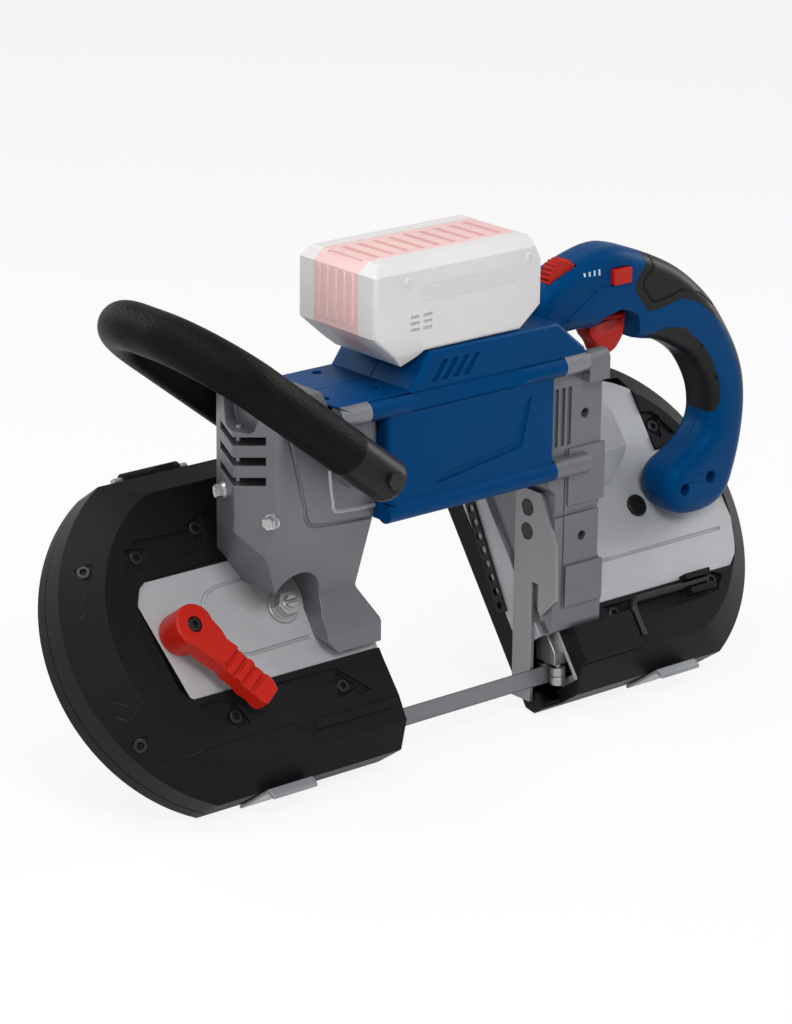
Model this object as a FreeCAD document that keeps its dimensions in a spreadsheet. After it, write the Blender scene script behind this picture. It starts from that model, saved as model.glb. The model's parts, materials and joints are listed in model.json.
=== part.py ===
import FreeCAD, Part
import math
import os
import re
from types import SimpleNamespace

from FreeCAD import Placement, Rotation, Vector

# A portable band saw. X runs along the saw towards the drive end, Y away from the user, Z up.
# The origin is on the tooth edge, midway between the two wheel axles: the cut is made in the plane Y = 0.
# The wheels lie in a plane that leans back about X. Pieces in that plane are drawn flat, with
# u along X, v up the plane and w out of its front, and are then leaned by one placement.

SIZES = {
    # Fits and overruns
    "gap": 0.3,
    "running_fit": 0.04,
    "overrun": 2,
    "reach": 600,
    # Blade and wheels
    "wheel_tilt": 55,
    "wheel_diameter": 165,
    "blade_length": 1140,
    "blade_width": 12.7,
    "blade_thickness": 0.5,
    "tooth_pitch": 2.1,
    "tooth_depth": 1.0,
    "throat_width": 127,
    "stop_face": 60.4,
    "straight_run": 87,
    "tyre_thickness": 3,
    "tyre_back": 5,
    "tyre_front": 6.35,
    "rim_back": 6,
    "rim_thickness": 6.5,
    "flange_height": 1.5,
    "flange_thickness": 2,
    "web_back": 1.5,
    "web_front": 3.5,
    "hub_radius": 22,
    "hub_front": 8,
    "web_hole_radius": 13,
    "web_hole_circle": 47,
    "web_hole_count": 6,
    # Wheel plates, seen across the wheel plane
    "plate_front": 28,
    "rim_front": 20,
    "plate_back": 17,
    "frame_back": 4,
    "frame_end_margin": 13.5,
    "frame_side_margin": 11.5,
    "rim_wall": 5,
    "end_wall": 3.5,
    "wheel_slot_half": 36,
    "blade_notch": 9,
    "notch_front": 9,
    "spine_depth": 15.75,
    "spine_wall": 3,
    # Bumpers and rear covers
    "bumper_end_margin": 33.5,
    "bumper_side_margin": 20.5,
    "bumper_front": 29.5,
    "bevel_run": 22,
    "flat_bevel": 15,
    "bevel_rise": 16.5,
    "cover_back": 20,
    "cover_wall": 3.5,
    "cover_bevel": 6,
    "window_low": 40.25,
    "window_high": 36.5,
    "window_left": 68,
    "window_corner": 12,
    "upper_end": 27,
    "recess_depth": 1.5,
    "rib_rise": 1.6,
    "rib_height": 6,
    "rib_low": 78.5,
    "guide_bay": 16,
    "guide_bay_top": 22,
    "shield_rise": 6,
    "shield_length": 50,
    "shield_low": 16,
    # Cover hinges and latches
    "hinge_rise": 5,
    "hinge_back": 9,
    "knuckle_radius": 4.5,
    "knuckle_length": 14,
    "hinge_pin_radius": 2.5,
    "latch_place": 160,
    "latch_width": 34,
    "latch_thickness": 2.3,
    "latch_pivot": 12,
    "latch_tab": 9,
    "latch_lip": 5,
    # Tension
    "bearing_radius": 16,
    "axle_radius": 8,
    "axle_head": 12,
    "axle_head_thickness": 3,
    "block_half": 22,
    "block_thickness": 5.4,
    "block_nose": 22,
    "tension_rib": 5,
    "cam_distance": 48,
    "cam_shaft_radius": 6,
    "cam_throw": 2,
    "cam_radius": 10,
    "cam_clearance": 1.2,
    "lever_hub_radius": 13,
    "lever_hub_height": 22,
    "lever_length": 62,
    "lever_angle": 303,
    "lever_thickness": 13,
    "lever_width": 19,
    "lever_rounding": 1.6,
    "lever_screw_radius": 5,
    "lever_screw_depth": 4,
    "nut_place": 31,
    "nut_flat_radius": 8,
    "nut_height": 7,
    "nut_flange_radius": 10.5,
    "nut_flange_height": 2.5,
    "stud_radius": 4,
    "stud_length": 13,
    # Drive
    "drive_axle_radius": 9,
    "drive_bearing_radius": 14,
    "drive_bearing_depth": 8,
    "layshaft_offset": 56.4,
    "drive_gear_teeth": 59,
    "pinion_teeth": 11,
    "gear_back": 9.5,
    "gear_thickness": 6,
    "gear_hub_radius": 20,
    "layshaft_radius": 6,
    "bevel_gear_radius": 12,
    "bevel_gear_thickness": 8,
    "bevel_pinion_radius": 5,
    "bevel_pinion_length": 12,
    # Motor
    "mid_plane": 18.5,
    "motor_inset": 23.9,
    "motor_shaft_radius": 4,
    "motor_bore_radius": 30,
    "stator_radius": 29.7,
    "stator_inner": 17.5,
    "stator_length": 52,
    "stator_left": -52,
    "rotor_radius": 16.8,
    "rotor_length": 48,
    "fan_radius": 27,
    "fan_inner": 9,
    "fan_length": 11,
    "fan_left": 10,
    "fan_blades": 9,
    "fan_blade_thickness": 1.6,
    "motor_bearing_radius": 11,
    "motor_bearing_length": 7,
    "motor_shaft_left": -74,
    # Blade guides
    "guide_place": 78,
    "guide_block_length": 12,
    "guide_block_low": 15,
    "guide_block_half": 9,
    "roller_radius": 5,
    "roller_height": 5.8,
    "roller_pin_radius": 2,
    "roller_low": 0.6,
    # Work stop
    "stop_thickness": 3,
    "stop_low": -10,
    "stop_height": 143,
    "stop_front": -20.5,
    "stop_depth": 39.5,
    "stop_screw_radius": 5.5,
    "stop_screw_y": 7.6,
    "stop_screw_low": 104.6,
    "stop_screw_pitch": 16,
    # Left column
    "left_column_left": -166,
    "left_column_width": 99,
    "left_column_low": 63,
    "left_column_height": 173,
    "left_column_half": 31.5,
    "column_prow": 11,
    "column_corner": 5,
    "column_cavity_depth": 62,
    "column_cavity_half": 25,
    "column_cavity_low": 152,
    "column_cavity_height": 56,
    "vent_half": 22,
    "vent_rise": 4,
    "vent_height": 5,
    "vent_pitch": 12.5,
    "vent_low": 178,
    "vent_depth": 40,
    "nut_arch_radius": 17,
    "nut_arch_rise": 5,
    "nut_arch_depth": 62,
    # Right column and gear housing
    "right_column_left": 57,
    "right_column_width": 47.5,
    "right_column_low": 25,
    "right_column_height": 187,
    "right_column_front": 33.5,
    "right_column_back": 8.5,
    "gear_box_right": 115,
    "gear_box_top": 204,
    "gear_box_reach": 20,
    "gear_box_back": 37,
    "gear_box_wall": 4,
    "shaft_hole_radius": 13,
    "column_hole_radius": 3.2,
    "column_hole_depth": 14,
    "column_hole_upper": 183.4,
    "column_hole_lower": 102.2,
    "column_hole_x": 87,
    "column_groove": 3,
    "column_groove_depth": 1.5,
    "column_groove_low": 118,
    "dome_right": 13,
    "dome_low": 22,
    "dome_high": 79,
    "dome_rise": 20,
    "dome_slope": 18,
    "dome_corner": 18,
    # Motor housing and its rails
    "housing_half": 38.5,
    "housing_left": -79,
    "housing_low": 147,
    "housing_right_top": 82,
    "deck_left": -116,
    "deck_low": 212,
    "deck_high": 226,
    "platform_left": -45,
    "platform_right": 58,
    "platform_high": 248,
    "ramp_left": -61,
    "neck_foot": 228,
    "housing_corner": 3,
    "housing_wall": 3,
    "rail_radius": 6.5,
    "rail_inset": 2.5,
    "rail_upper": 219,
    "rail_lower": 152,
    "rail_right": 99,
    "module_left": -35,
    "module_length": 70,
    "module_half": 26,
    "module_low": 215,
    "module_height": 14,
    "panel_depth": 1.2,
    # Rear handle
    "handle_left": 58,
    "handle_width": 204,
    "handle_low": 50,
    "handle_height": 232,
    "handle_half": 17,
    "handle_rounding": 8,
    "switch_left": 112,
    "switch_length": 26,
    "switch_low": 236,
    "switch_height": 16,
    "switch_half": 9,
    "trigger_left": 112,
    "trigger_length": 33,
    "trigger_top": 234,
    "trigger_drop": 26,
    "trigger_half": 7.5,
    "trigger_travel": 7,
    "trigger_rounding": 3,
    "lock_place": 129,
    "lock_drop": 20,
    "lock_length": 15,
    "lock_thickness": 10,
    "lock_proud": 3.5,
    "lock_rounding": 1.2,
    "dial_place": 86,
    "dial_height": 265.5,
    "dial_radius": 12.5,
    "dial_width": 9,
    "dial_offset": 6,
    "dial_pin_radius": 2,
    "dial_notch": 1,
    "dial_notch_count": 24,
    # Front handle
    "bail_x": -99.4,
    "bail_z": 186,
    "bail_slope": 37.6,
    "bail_length": 159,
    "bail_half": 55.5,
    "bail_bend": 46,
    "grip_radius": 14.5,
    "cap_length": 30,
    "cap_nose": 13,
    "cap_radius": 14.2,
    "boss_radius": 14,
    "bail_bolt_radius": 6,
    "bail_bolt_head": 3,
    # Battery
    "battery_left": -88,
    "battery_width": 133,
    "battery_low": 240,
    "battery_height": 66,
    "battery_half": 36.5,
    "battery_corner": 3,
    "band_half": 21,
    "band_depth": 5,
    "band_rib": 5,
    "band_rib_depth": 2.4,
    "band_rib_count": 11,
    "cell_radius": 10.5,
    "cell_length": 65,
    "cell_pitch": 21.6,
    "cell_columns": 5,
    "cell_left": -65,
    "cell_low": 264,
    "cavity_half": 33.5,
    "button_half": 13,
    "button_length": 18,
    "button_depth": 3.4,
    "button_travel": 2.5,
    # Hex key
    "key_radius": 2.5,
    "key_long": 68,
    "key_short": 24,
    "key_bend": 6,
    "key_u": 20,
    "key_v": 57,
    "clip_left": 30,
    "clip_length": 22,
    "clip_half": 7,
    "clip_rise": 6,
}

# Outlines as hand-chosen shares of the width and height of the piece that they shape.
LEFT_WINDOW_SHARES = [(0.0, 0.86), (0.05, 0.12), (0.09, 0.0), (1.1, 0.0), (1.1, 2.2), (0.66, 2.2), (0.66, 1.0), (0.03, 1.0)]
RIGHT_WINDOW_SHARES = [(-0.30, 0.0), (0.88, 0.0), (0.95, 0.10), (1.0, 0.35), (1.0, 0.80), (0.93, 1.0),
                       (0.70, 1.0), (0.70, 1.62), (-0.30, 1.62)]
LEFT_COLUMN_SHARES = [(1.0, 0.0), (1.0, 0.087), (0.878, 0.214), (0.878, 0.861), (0.505, 0.861), (0.47, 0.95),
                      (0.42, 1.0), (0.06, 1.0), (0.0, 0.95), (0.0, 0.50), (0.11, 0.39), (0.34, 0.13),
                      (0.49, 0.10), (0.66, 0.0)]
RIGHT_COLUMN_SHARES = [(0.135, 0.0), (1.0, 0.0), (1.0, 0.294), (0.926, 0.337), (0.926, 1.0), (0.0, 1.0),
                       (0.0, 0.615), (0.135, 0.583)]
HANDLE_SHARES = [(0.035, 0.925, 0.45), (0.15, 0.975, 0.45), (0.325, 1.005, 0.48), (0.54, 0.935, 0.48),
                 (0.72, 0.86, 0.48), (0.86, 0.735, 0.48), (0.97, 0.57, 0.48), (1.0, 0.41, 0.48),
                 (0.96, 0.30, 0.45), (0.84, 0.0, 0.0), (0.58, 0.0, 0.0), (0.555, 0.28, 0.3),
                 (0.752, 0.385, 0.35), (0.735, 0.50, 0.48), (0.69, 0.60, 0.48), (0.525, 0.69, 0.48),
                 (0.34, 0.752, 0.48), (0.22, 0.745, 0.4)]
OUTER_PAD_SHARES = [(0.40, 1.10), (0.44, 0.93), (0.49, 0.83), (0.56, 0.79), (0.61, 0.83), (0.72, 0.795), (0.83, 0.69),
                    (0.92, 0.56), (0.945, 0.42), (0.96, 0.33), (1.1, 0.33), (1.1, 1.10)]
INNER_PAD_SHARES = [(0.50, 0.60), (0.51, 0.715), (0.60, 0.735), (0.70, 0.67), (0.77, 0.55), (0.795, 0.47),
                    (0.79, 0.41), (0.74, 0.395), (0.66, 0.395)]
STOP_SHARES = [(0.557, 0.0), (1.0, 0.0), (1.0, 1.0), (0.40, 1.0), (0.035, 0.77), (0.0, 0.52), (0.34, 0.425),
               (0.415, 0.45), (0.415, 0.572), (0.557, 0.572)]
BATTERY_SHARES = [(0.19, 0.0), (0.30, 0.126), (0.875, 0.126), (1.0, 0.33), (1.0, 0.76), (0.94, 1.0), (0.06, 1.0),
                  (0.0, 0.90), (0.0, 0.33)]
LEVER_SHARES = [(0.0, 0.62), (0.24, 0.54), (0.34, 0.42), (0.46, 0.47), (0.55, 0.40), (0.67, 0.46), (0.76, 0.39),
                (0.88, 0.45), (0.96, 0.42), (1.04, 0.30), (1.04, -0.36), (0.97, -0.47), (0.88, -0.42),
                (0.76, -0.49), (0.67, -0.42), (0.55, -0.49), (0.46, -0.43), (0.24, -0.54), (0.0, -0.62)]
TRIGGER_SHARES = [(0.0, 1.0, 0.1), (0.04, 0.56, 0.4), (0.24, 0.30, 0.45), (0.34, 0.0, 0.4), (0.72, 0.0, 0.4),
                  (0.98, 0.40, 0.4), (1.0, 1.0, 0.1)]
LEFT_RECESS_SHARES = [[(-0.66, 0.43), (-0.53, 0.60), (-0.06, 0.58), (-0.10, 0.45)],
                      [(-0.50, -0.43), (-0.27, -0.44), (-0.22, -0.60), (-0.30, -0.62)],
                      [(0.02, -0.43), (0.50, -0.44), (0.69, -0.62), (0.60, -0.63), (0.44, -0.52)]]
RIGHT_RECESS_SHARES = [[(-0.40, -0.54), (0.62, -0.54), (0.56, -0.64), (-0.28, -0.67)],
                       [(0.46, 0.45), (0.72, 0.42), (0.60, 0.60), (0.46, 0.62)]]

doc = FreeCAD.newDocument("portable_band_saw")
sheet = doc.addObject("Spreadsheet::Sheet", "Sizes")
for row, (alias, value) in enumerate(SIZES.items(), start=1):
    sheet.set("A%d" % row, alias)
    sheet.set("B%d" % row, str(value))
    sheet.setAlias("B%d" % row, alias)
doc.recompute()
size = SimpleNamespace(**{alias: float(sheet.get(alias)) for alias in SIZES})

# Places that follow from the sizes
tilt = math.radians(size.wheel_tilt)
blade_middle = size.blade_width / 2
loop_radius = (size.wheel_diameter + size.blade_thickness) / 2
wheel_radius = size.wheel_diameter / 2
axle_u = (size.blade_length - 2 * math.pi * loop_radius) / 4
axle_v = loop_radius
throat_left = size.stop_face - size.throat_width
throat_right = size.stop_face + size.stop_thickness
frame_radius = wheel_radius + size.frame_end_margin
frame_half = wheel_radius + size.frame_side_margin
bumper_radius = wheel_radius + size.bumper_end_margin
bumper_half = wheel_radius + size.bumper_side_margin
frame_top = axle_v + frame_half
motor_v = frame_top - size.motor_inset
motor_height = blade_middle + (motor_v - size.mid_plane * math.cos(tilt)) / math.sin(tilt)
motor_w = (motor_height - blade_middle) * math.cos(tilt) - size.mid_plane * math.sin(tilt)
layshaft_u = axle_u - size.layshaft_offset
gear_reach = math.hypot(size.layshaft_offset, motor_v - axle_v)
gear_module = 2 * gear_reach / (size.drive_gear_teeth + size.pinion_teeth)
cam_u = -axle_u - size.cam_distance
spine_inner = frame_top - size.spine_depth
roller_y = size.blade_thickness / 2 + size.gap + size.roller_radius
lock_height = size.handle_low + size.handle_height - size.lock_drop
near = size.gap / 100
WHEEL = Placement(Vector(0, 0, blade_middle), Rotation(Vector(1, 0, 0), size.wheel_tilt))
MIDDLE = Placement(Vector(0, size.mid_plane, 0), Rotation())

PIECES = {}


def cells(text):
    """An expression whose size names point at the sheet."""
    return re.sub(r"[a-z_]+", lambda found: "Sizes." + found.group() if found.group() in SIZES else found.group(), text)


def at_wheel(u, v):
    """The leaned frame, moved along the wheel plane."""
    return WHEEL * Placement(Vector(u, v, 0), Rotation())


def world(u, v, w):
    """A point of the wheel plane's frame, in the saw's frame."""
    return WHEEL.multVec(Vector(u, v, w))


def circle(x, y, radius):
    return [Part.Circle(Vector(x, y, 0), Vector(0, 0, 1), radius)]


def rounded(corners):
    """A closed outline of straight runs. A corner's third number is how far back its tangent arc starts."""
    joints = []
    for index, corner in enumerate(corners):
        here = Vector(corner[0], corner[1], 0)
        reach = corner[2] if len(corner) > 2 else 0
        before = Vector(corners[index - 1][0], corners[index - 1][1], 0)
        after = Vector(corners[(index + 1) % len(corners)][0], corners[(index + 1) % len(corners)][1], 0)
        back = (before - here).normalize()
        ahead = (after - here).normalize()
        if reach == 0:
            joints.append((here, here, None))
            continue
        half = back.getAngle(ahead) / 2
        inward = (back + ahead).normalize()
        radius = reach * math.tan(half)
        start = here + back * reach
        finish = here + ahead * reach
        crown = here + inward * (radius / math.sin(half) - radius)
        joints.append((start, finish, Part.Arc(start, crown, finish)))
    edges = []
    for index, (start, finish, arc) in enumerate(joints):
        previous = joints[index - 1][1]
        if previous.distanceToPoint(start) > near:
            edges.append(Part.LineSegment(previous, start))
        if arc is not None:
            edges.append(arc)
    return edges


def box(left, right, low, high, radius=0):
    return rounded([(left, low, radius), (right, low, radius), (right, high, radius), (left, high, radius)])


def shaped(shares, left, width, low, height):
    """An outline from shares of a width and a height, softened by any third share."""
    points = [(left + share[0] * width, low + share[1] * height) for share in shares]
    return rounded(soften(points, [share[2] if len(share) > 2 else 0 for share in shares]))


def soften(points, shares):
    """Corners whose arcs take a share of the shorter side beside them."""
    corners = []
    for index, (x, y) in enumerate(points):
        before = points[index - 1]
        after = points[(index + 1) % len(points)]
        shorter = min(math.hypot(x - before[0], y - before[1]), math.hypot(x - after[0], y - after[1]))
        corners.append((x, y, shares[index] * shorter))
    return corners


def housing(side, radius, half, end):
    """The outline of one wheel housing: a round end cut flat above and below, run out to the throat."""
    middle = side * axle_u
    run = math.sqrt(max(radius ** 2 - half ** 2, 0))
    low = Vector(middle + side * run, axle_v - half, 0)
    high = Vector(middle + side * run, axle_v + half, 0)
    tip = Vector(middle + side * radius, axle_v, 0)
    low_end = Vector(end, axle_v - half, 0)
    high_end = Vector(end, axle_v + half, 0)
    return [Part.LineSegment(low_end, low), Part.Arc(low, tip, high), Part.LineSegment(high, high_end),
            Part.LineSegment(high_end, low_end)]


def window(side, inset):
    """The opening of a bumper, through which the wheel plate stands."""
    left = side * axle_u - size.window_left + inset
    low = axle_v - (size.window_low if side < 0 else size.window_low + size.window_corner) + inset
    height = axle_v + size.window_high - inset - low
    if side < 0:
        return shaped(LEFT_WINDOW_SHARES, left, throat_left - left, low, height)
    right = axle_u + bumper_radius - size.bevel_run - inset
    left = throat_right + size.right_column_width
    return shaped(RIGHT_WINDOW_SHARES, left, right - left, low, height)


class Piece:
    """One sub-part: a body that is sketched, padded, cut and rounded step by step."""

    def __init__(self, label, place=None):
        self.body = doc.addObject("PartDesign::Body", label)
        self.body.Label = label
        if place is not None:
            self.body.Placement = place
        PIECES[label] = self.body

    def sketch(self, loops, plane, lift):
        planes = {feature.Role: feature for feature in self.body.Origin.OriginFeatures}
        sketch = self.body.newObject("Sketcher::SketchObject", self.body.Label + "_sketch")
        sketch.AttachmentSupport = (planes[plane + "_Plane"], [""])
        sketch.MapMode = "FlatFace"
        if lift:
            sketch.setExpression("AttachmentOffset.Base.z", cells(lift))
        for loop in loops:
            sketch.addGeometry(loop)
        return sketch

    def feature(self, kind, loops, length, plane, lift, side, reverse):
        sketch = self.sketch(loops, plane, lift)
        feature = self.body.newObject("PartDesign::" + kind, self.body.Label + "_" + kind.lower())
        feature.Profile = sketch
        feature.SideType = side
        feature.Reversed = reverse
        if length:
            feature.setExpression("Length", cells(length))
        else:
            feature.Type = "ThroughAll"
        return self

    def pad(self, loops, length, plane="XY", lift="", side="One side", reverse=False):
        return self.feature("Pad", loops, length, plane, lift, side, reverse)

    def cut(self, loops, length="", plane="XY", lift="", side="One side", reverse=False):
        """A cut that runs the way that a pad from the same sketch would, or through all both ways."""
        if not length:
            return self.feature("Pocket", loops, "", plane, lift, "Symmetric", False)
        return self.feature("Pocket", loops, length, plane, lift, side, not reverse)

    def turn(self, loops, plane="XZ"):
        """A turned shape, from outlines of radius and height."""
        sketch = self.sketch(loops, plane, "")
        feature = self.body.newObject("PartDesign::Revolution", self.body.Label + "_turn")
        feature.Profile = sketch
        feature.ReferenceAxis = (sketch, ["V_Axis"])
        return self

    def loft(self, low, low_lift, high, high_lift):
        """Straight sides between two outlines."""
        feature = self.body.newObject("PartDesign::AdditiveLoft", self.body.Label + "_loft")
        feature.Profile = self.sketch([low], "XY", low_lift)
        feature.Sections = [self.sketch([high], "XY", high_lift)]
        feature.Ruled = True
        return self

    def edges(self, pick):
        doc.recompute()
        return ["Edge%d" % (index + 1) for index, edge in enumerate(self.body.Tip.Shape.Edges) if pick(edge)]

    def round(self, radius, pick):
        names = self.edges(pick)
        feature = self.body.newObject("PartDesign::Fillet", self.body.Label + "_rounding")
        feature.Base = (self.body.BaseFeature or self.last(feature), names)
        feature.setExpression("Radius", cells(radius))
        return self

    def bevel(self, rise, run, pick, flip=False):
        names = self.edges(pick)
        feature = self.body.newObject("PartDesign::Chamfer", self.body.Label + "_bevel")
        feature.Base = (self.last(feature), names)
        feature.ChamferType = "Two distances"
        feature.setExpression("Size", cells(rise))
        feature.setExpression("Size2", cells(run))
        feature.FlipDirection = flip
        return self

    def last(self, newest):
        """The solid feature before the newest one."""
        solids = [item for item in self.body.Group if not item.isDerivedFrom("Sketcher::SketchObject")]
        return solids[solids.index(newest) - 1]


def close(first, second):
    return abs(first - second) < size.gap / 10


def level(axis, value):
    """Picks the edges that lie flat at one height along an axis."""
    def pick(edge):
        bounds = edge.BoundBox
        low, high = getattr(bounds, axis + "Min"), getattr(bounds, axis + "Max")
        return close(low, value) and close(high, value)
    return pick


def along(axis, least):
    """Picks the straight edges that run along an axis, at least so long."""
    def pick(edge):
        bounds = edge.BoundBox
        runs = {name: getattr(bounds, name + "Length") for name in "XYZ"}
        return runs[axis] > least and all(run < size.gap for name, run in runs.items() if name != axis)
    return pick


# Wheel plates: cast dishes that carry the wheels, each with a raised face in its bumper's window

def wheel_plate(label, side, end):
    piece = Piece(label, WHEEL)
    outer = housing(side, frame_radius, frame_half, end)
    inner = housing(side, frame_radius - size.rim_wall, frame_half - size.rim_wall, end + side * size.end_wall)
    piece.pad([outer], "rim_front - plate_back", lift="plate_back")
    piece.pad([outer, inner], "plate_back + frame_back", lift="-frame_back")
    face = Part.Face(Part.Wire([edge.toShape() for edge in window(side, size.gap)]))
    field = Part.Face(Part.Wire([edge.toShape() for edge in outer]))
    outline = face.common(field).Faces[0].OuterWire
    piece.pad([[edge_curve(edge) for edge in outline.Edges]], "plate_front - rim_front", lift="rim_front")
    notch_ends = sorted([end - side * size.overrun, end + side * (size.end_wall + size.overrun)])
    for run in (0, 2 * loop_radius):
        notch = box(notch_ends[0], notch_ends[1], run - size.blade_notch, run + size.blade_notch)
        piece.cut([notch], "notch_front + frame_back + overrun", lift="-frame_back - overrun")
    roller_ends = sorted([end - side * size.overrun, side * (size.guide_place + size.roller_radius + size.overrun)])
    piece.cut([box(roller_ends[0], roller_ends[1], axle_v - frame_half - size.overrun, 0)],
              "plate_back + frame_back + overrun", lift="-frame_back - overrun")
    return piece


def edge_curve(edge):
    """The plain line or arc of an edge, for a sketch."""
    if edge.Curve.TypeId == "Part::GeomLine":
        return Part.LineSegment(edge.Vertexes[0].Point, edge.Vertexes[-1].Point)
    first, last = edge.ParameterRange
    return Part.Arc(edge.valueAt(first), edge.valueAt((first + last) / 2), edge.valueAt(last))


left_plate = wheel_plate("left_wheel_plate", -1, throat_left)
rib_left = cam_u - size.cam_radius - size.cam_throw - size.cam_clearance - size.block_nose
rib_right = -axle_u + size.block_nose
for rib_side in (-1, 1):
    rib_edges = sorted([axle_v + rib_side * (size.block_half + size.gap),
                        axle_v + rib_side * (size.block_half + size.gap + size.tension_rib)])
    left_plate.pad([box(rib_left, rib_right, rib_edges[0], rib_edges[1])], "block_thickness + gap",
                   lift="plate_back - block_thickness - gap")
left_plate.cut([circle(cam_u, axle_v, size.cam_shaft_radius + size.running_fit)])
wheel_slot = box(throat_left - size.end_wall - size.overrun, throat_left + size.overrun, axle_v - size.wheel_slot_half,
                 axle_v + size.wheel_slot_half)
left_plate.cut([wheel_slot], "notch_front + frame_back + overrun", lift="-frame_back - overrun")
left_plate.cut([circle(-axle_u + size.nut_place, axle_v, size.stud_radius)])

right_plate = wheel_plate("right_wheel_plate", 1, throat_right)
right_plate.cut([circle(axle_u, axle_v, size.drive_bearing_radius)], "drive_bearing_depth", lift="plate_back")
bay = box(throat_right - size.overrun, throat_right + size.guide_bay, axle_v - bumper_half - size.overrun,
          size.guide_bay_top)
right_plate.cut([bay])
dome = rounded([(size.gear_box_right, axle_v + size.dome_low, 0),
                (axle_u + size.dome_right, axle_v + size.dome_low, size.dome_corner),
                (axle_u + size.dome_right, axle_v + size.dome_high, size.dome_corner),
                (size.gear_box_right, axle_v + size.dome_high, 0)])
right_plate.pad([dome], "dome_rise", lift="plate_front")
dome_low = axle_v + size.dome_low
dome_top = size.plate_front + size.dome_rise
right_plate.cut([rounded([(dome_low - size.overrun, size.plate_front), (dome_low, size.plate_front),
                          (dome_low + size.dome_slope, dome_top), (dome_low + size.dome_slope, dome_top + size.overrun),
                          (dome_low - size.overrun, dome_top + size.overrun)])],
                "dome_right + reach", plane="YZ", lift="gear_box_right - overrun")
right_plate.cut([circle(layshaft_u, motor_v, size.layshaft_radius + size.running_fit)])

# Spine: the channel behind the motor that joins both plates and hides the blade's upper run

spine = Piece("spine_channel", WHEEL)
spine.pad([box(throat_left, throat_right, spine_inner, frame_top)], "rim_front + frame_back", lift="-frame_back")
spine.cut([box(throat_left - size.overrun, throat_right + size.overrun, spine_inner + size.spine_wall,
               frame_top - size.spine_wall)], "plate_back + frame_back + overrun", lift="-frame_back - overrun")

# Bumpers: moulded rims with a broad bevel, a window for the wheel plate and sunk pockets for their screws

hinge_v = axle_v + bumper_half + size.hinge_rise
hinge_w = -size.hinge_back


def knuckle(piece, left, leg, bore):
    """A hinge eye on a leg that stands on the piece's upper edge."""
    lift = "%s" % left
    piece.pad([rounded(leg)], "knuckle_length", plane="YZ", lift=lift)
    piece.pad([circle(hinge_v, hinge_w, size.knuckle_radius)], "knuckle_length", plane="YZ", lift=lift)
    piece.cut([circle(hinge_v, hinge_w, bore)], "knuckle_length", plane="YZ", lift=lift)


def bumper(label, side, end, recesses):
    piece = Piece(label, WHEEL)
    outer = housing(side, bumper_radius, bumper_half, end)
    upper = housing(side, bumper_radius - size.bevel_run, bumper_half - size.flat_bevel, end)
    piece.pad([outer], "bumper_front - bevel_rise + frame_back", lift="-frame_back")
    piece.loft(outer, "bumper_front - bevel_rise", upper, "bumper_front")
    piece.cut([housing(side, frame_radius, frame_half, end - side * size.overrun)],
              "rim_front + frame_back + overrun", lift="-frame_back - overrun")
    piece.cut([window(side, 0)], "bumper_front", lift="rim_front - overrun")
    for recess in recesses:
        piece.cut([shaped(recess, side * axle_u, bumper_half, axle_v, bumper_half)],
                  "recess_depth + overrun", lift="bumper_front - recess_depth")
    return piece


left_bumper = bumper("left_bumper", -1, throat_left, LEFT_RECESS_SHARES)
rib_v = axle_v - size.rib_low
left_bumper.pad([rounded([(-axle_u + size.block_nose, rib_v), (throat_left - size.rib_height, rib_v),
                          (throat_left - size.gap, rib_v + size.rib_height),
                          (-axle_u + size.block_half, rib_v + size.rib_height)])],
                "rib_rise + overrun", lift="bumper_front - overrun")
right_bumper = bumper("right_bumper", 1, throat_right + size.guide_bay, RIGHT_RECESS_SHARES)
shield_left = throat_right + size.guide_bay
right_bumper.pad([rounded([(shield_left, axle_v - bumper_half + size.shield_low, 0),
                           (shield_left + size.shield_length, axle_v - bumper_half + size.shield_low, 0),
                           (shield_left + size.shield_length, axle_v - size.rib_low + size.shield_low, 0),
                           (shield_left, axle_v - size.rib_low + size.shield_low, 0)])],
                 "bumper_front - rim_front + shield_rise", lift="rim_front")
key_u = axle_u - size.key_u
key_v = axle_v - size.key_v
clip_u = axle_u + size.clip_left
right_bumper.pad([box(clip_u, clip_u + size.clip_length, key_v - size.clip_half, key_v + size.clip_half)],
                 "clip_rise + recess_depth", lift="bumper_front - recess_depth")
right_bumper.cut([box(clip_u - size.overrun, clip_u + size.clip_length + size.overrun,
                      key_v - size.key_radius - size.gap, key_v + size.key_radius + size.gap)],
                 "clip_rise + overrun", lift="bumper_front")

leg_low = axle_v + bumper_half - size.overrun
leg_step = hinge_v - size.knuckle_radius
leg_front = size.knuckle_length - size.frame_back
BUMPER_LEG = [(leg_low, -size.frame_back), (leg_step, -size.frame_back), (leg_step, hinge_w), (hinge_v, hinge_w),
              (hinge_v, leg_front), (leg_low, leg_front)]
COVER_LEG = [(leg_low, -size.cover_back + size.cover_bevel), (hinge_v, -size.cover_back + size.cover_bevel),
             (hinge_v, hinge_w), (leg_low, hinge_w)]
for piece, side in ((left_bumper, -1), (right_bumper, 1)):
    knuckle(piece, side * axle_u - size.knuckle_length / 2, BUMPER_LEG, size.hinge_pin_radius)


def rear_cover(label, side, end):
    piece = Piece(label, WHEEL)
    piece.pad([housing(side, bumper_radius, bumper_half, end)], "cover_back - frame_back - gap",
              lift="-cover_back")
    back = level("Z", -size.cover_back)
    piece.bevel("cover_bevel", "cover_bevel", lambda edge: back(edge) and not along("Y", bumper_half)(edge))
    return piece


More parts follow.
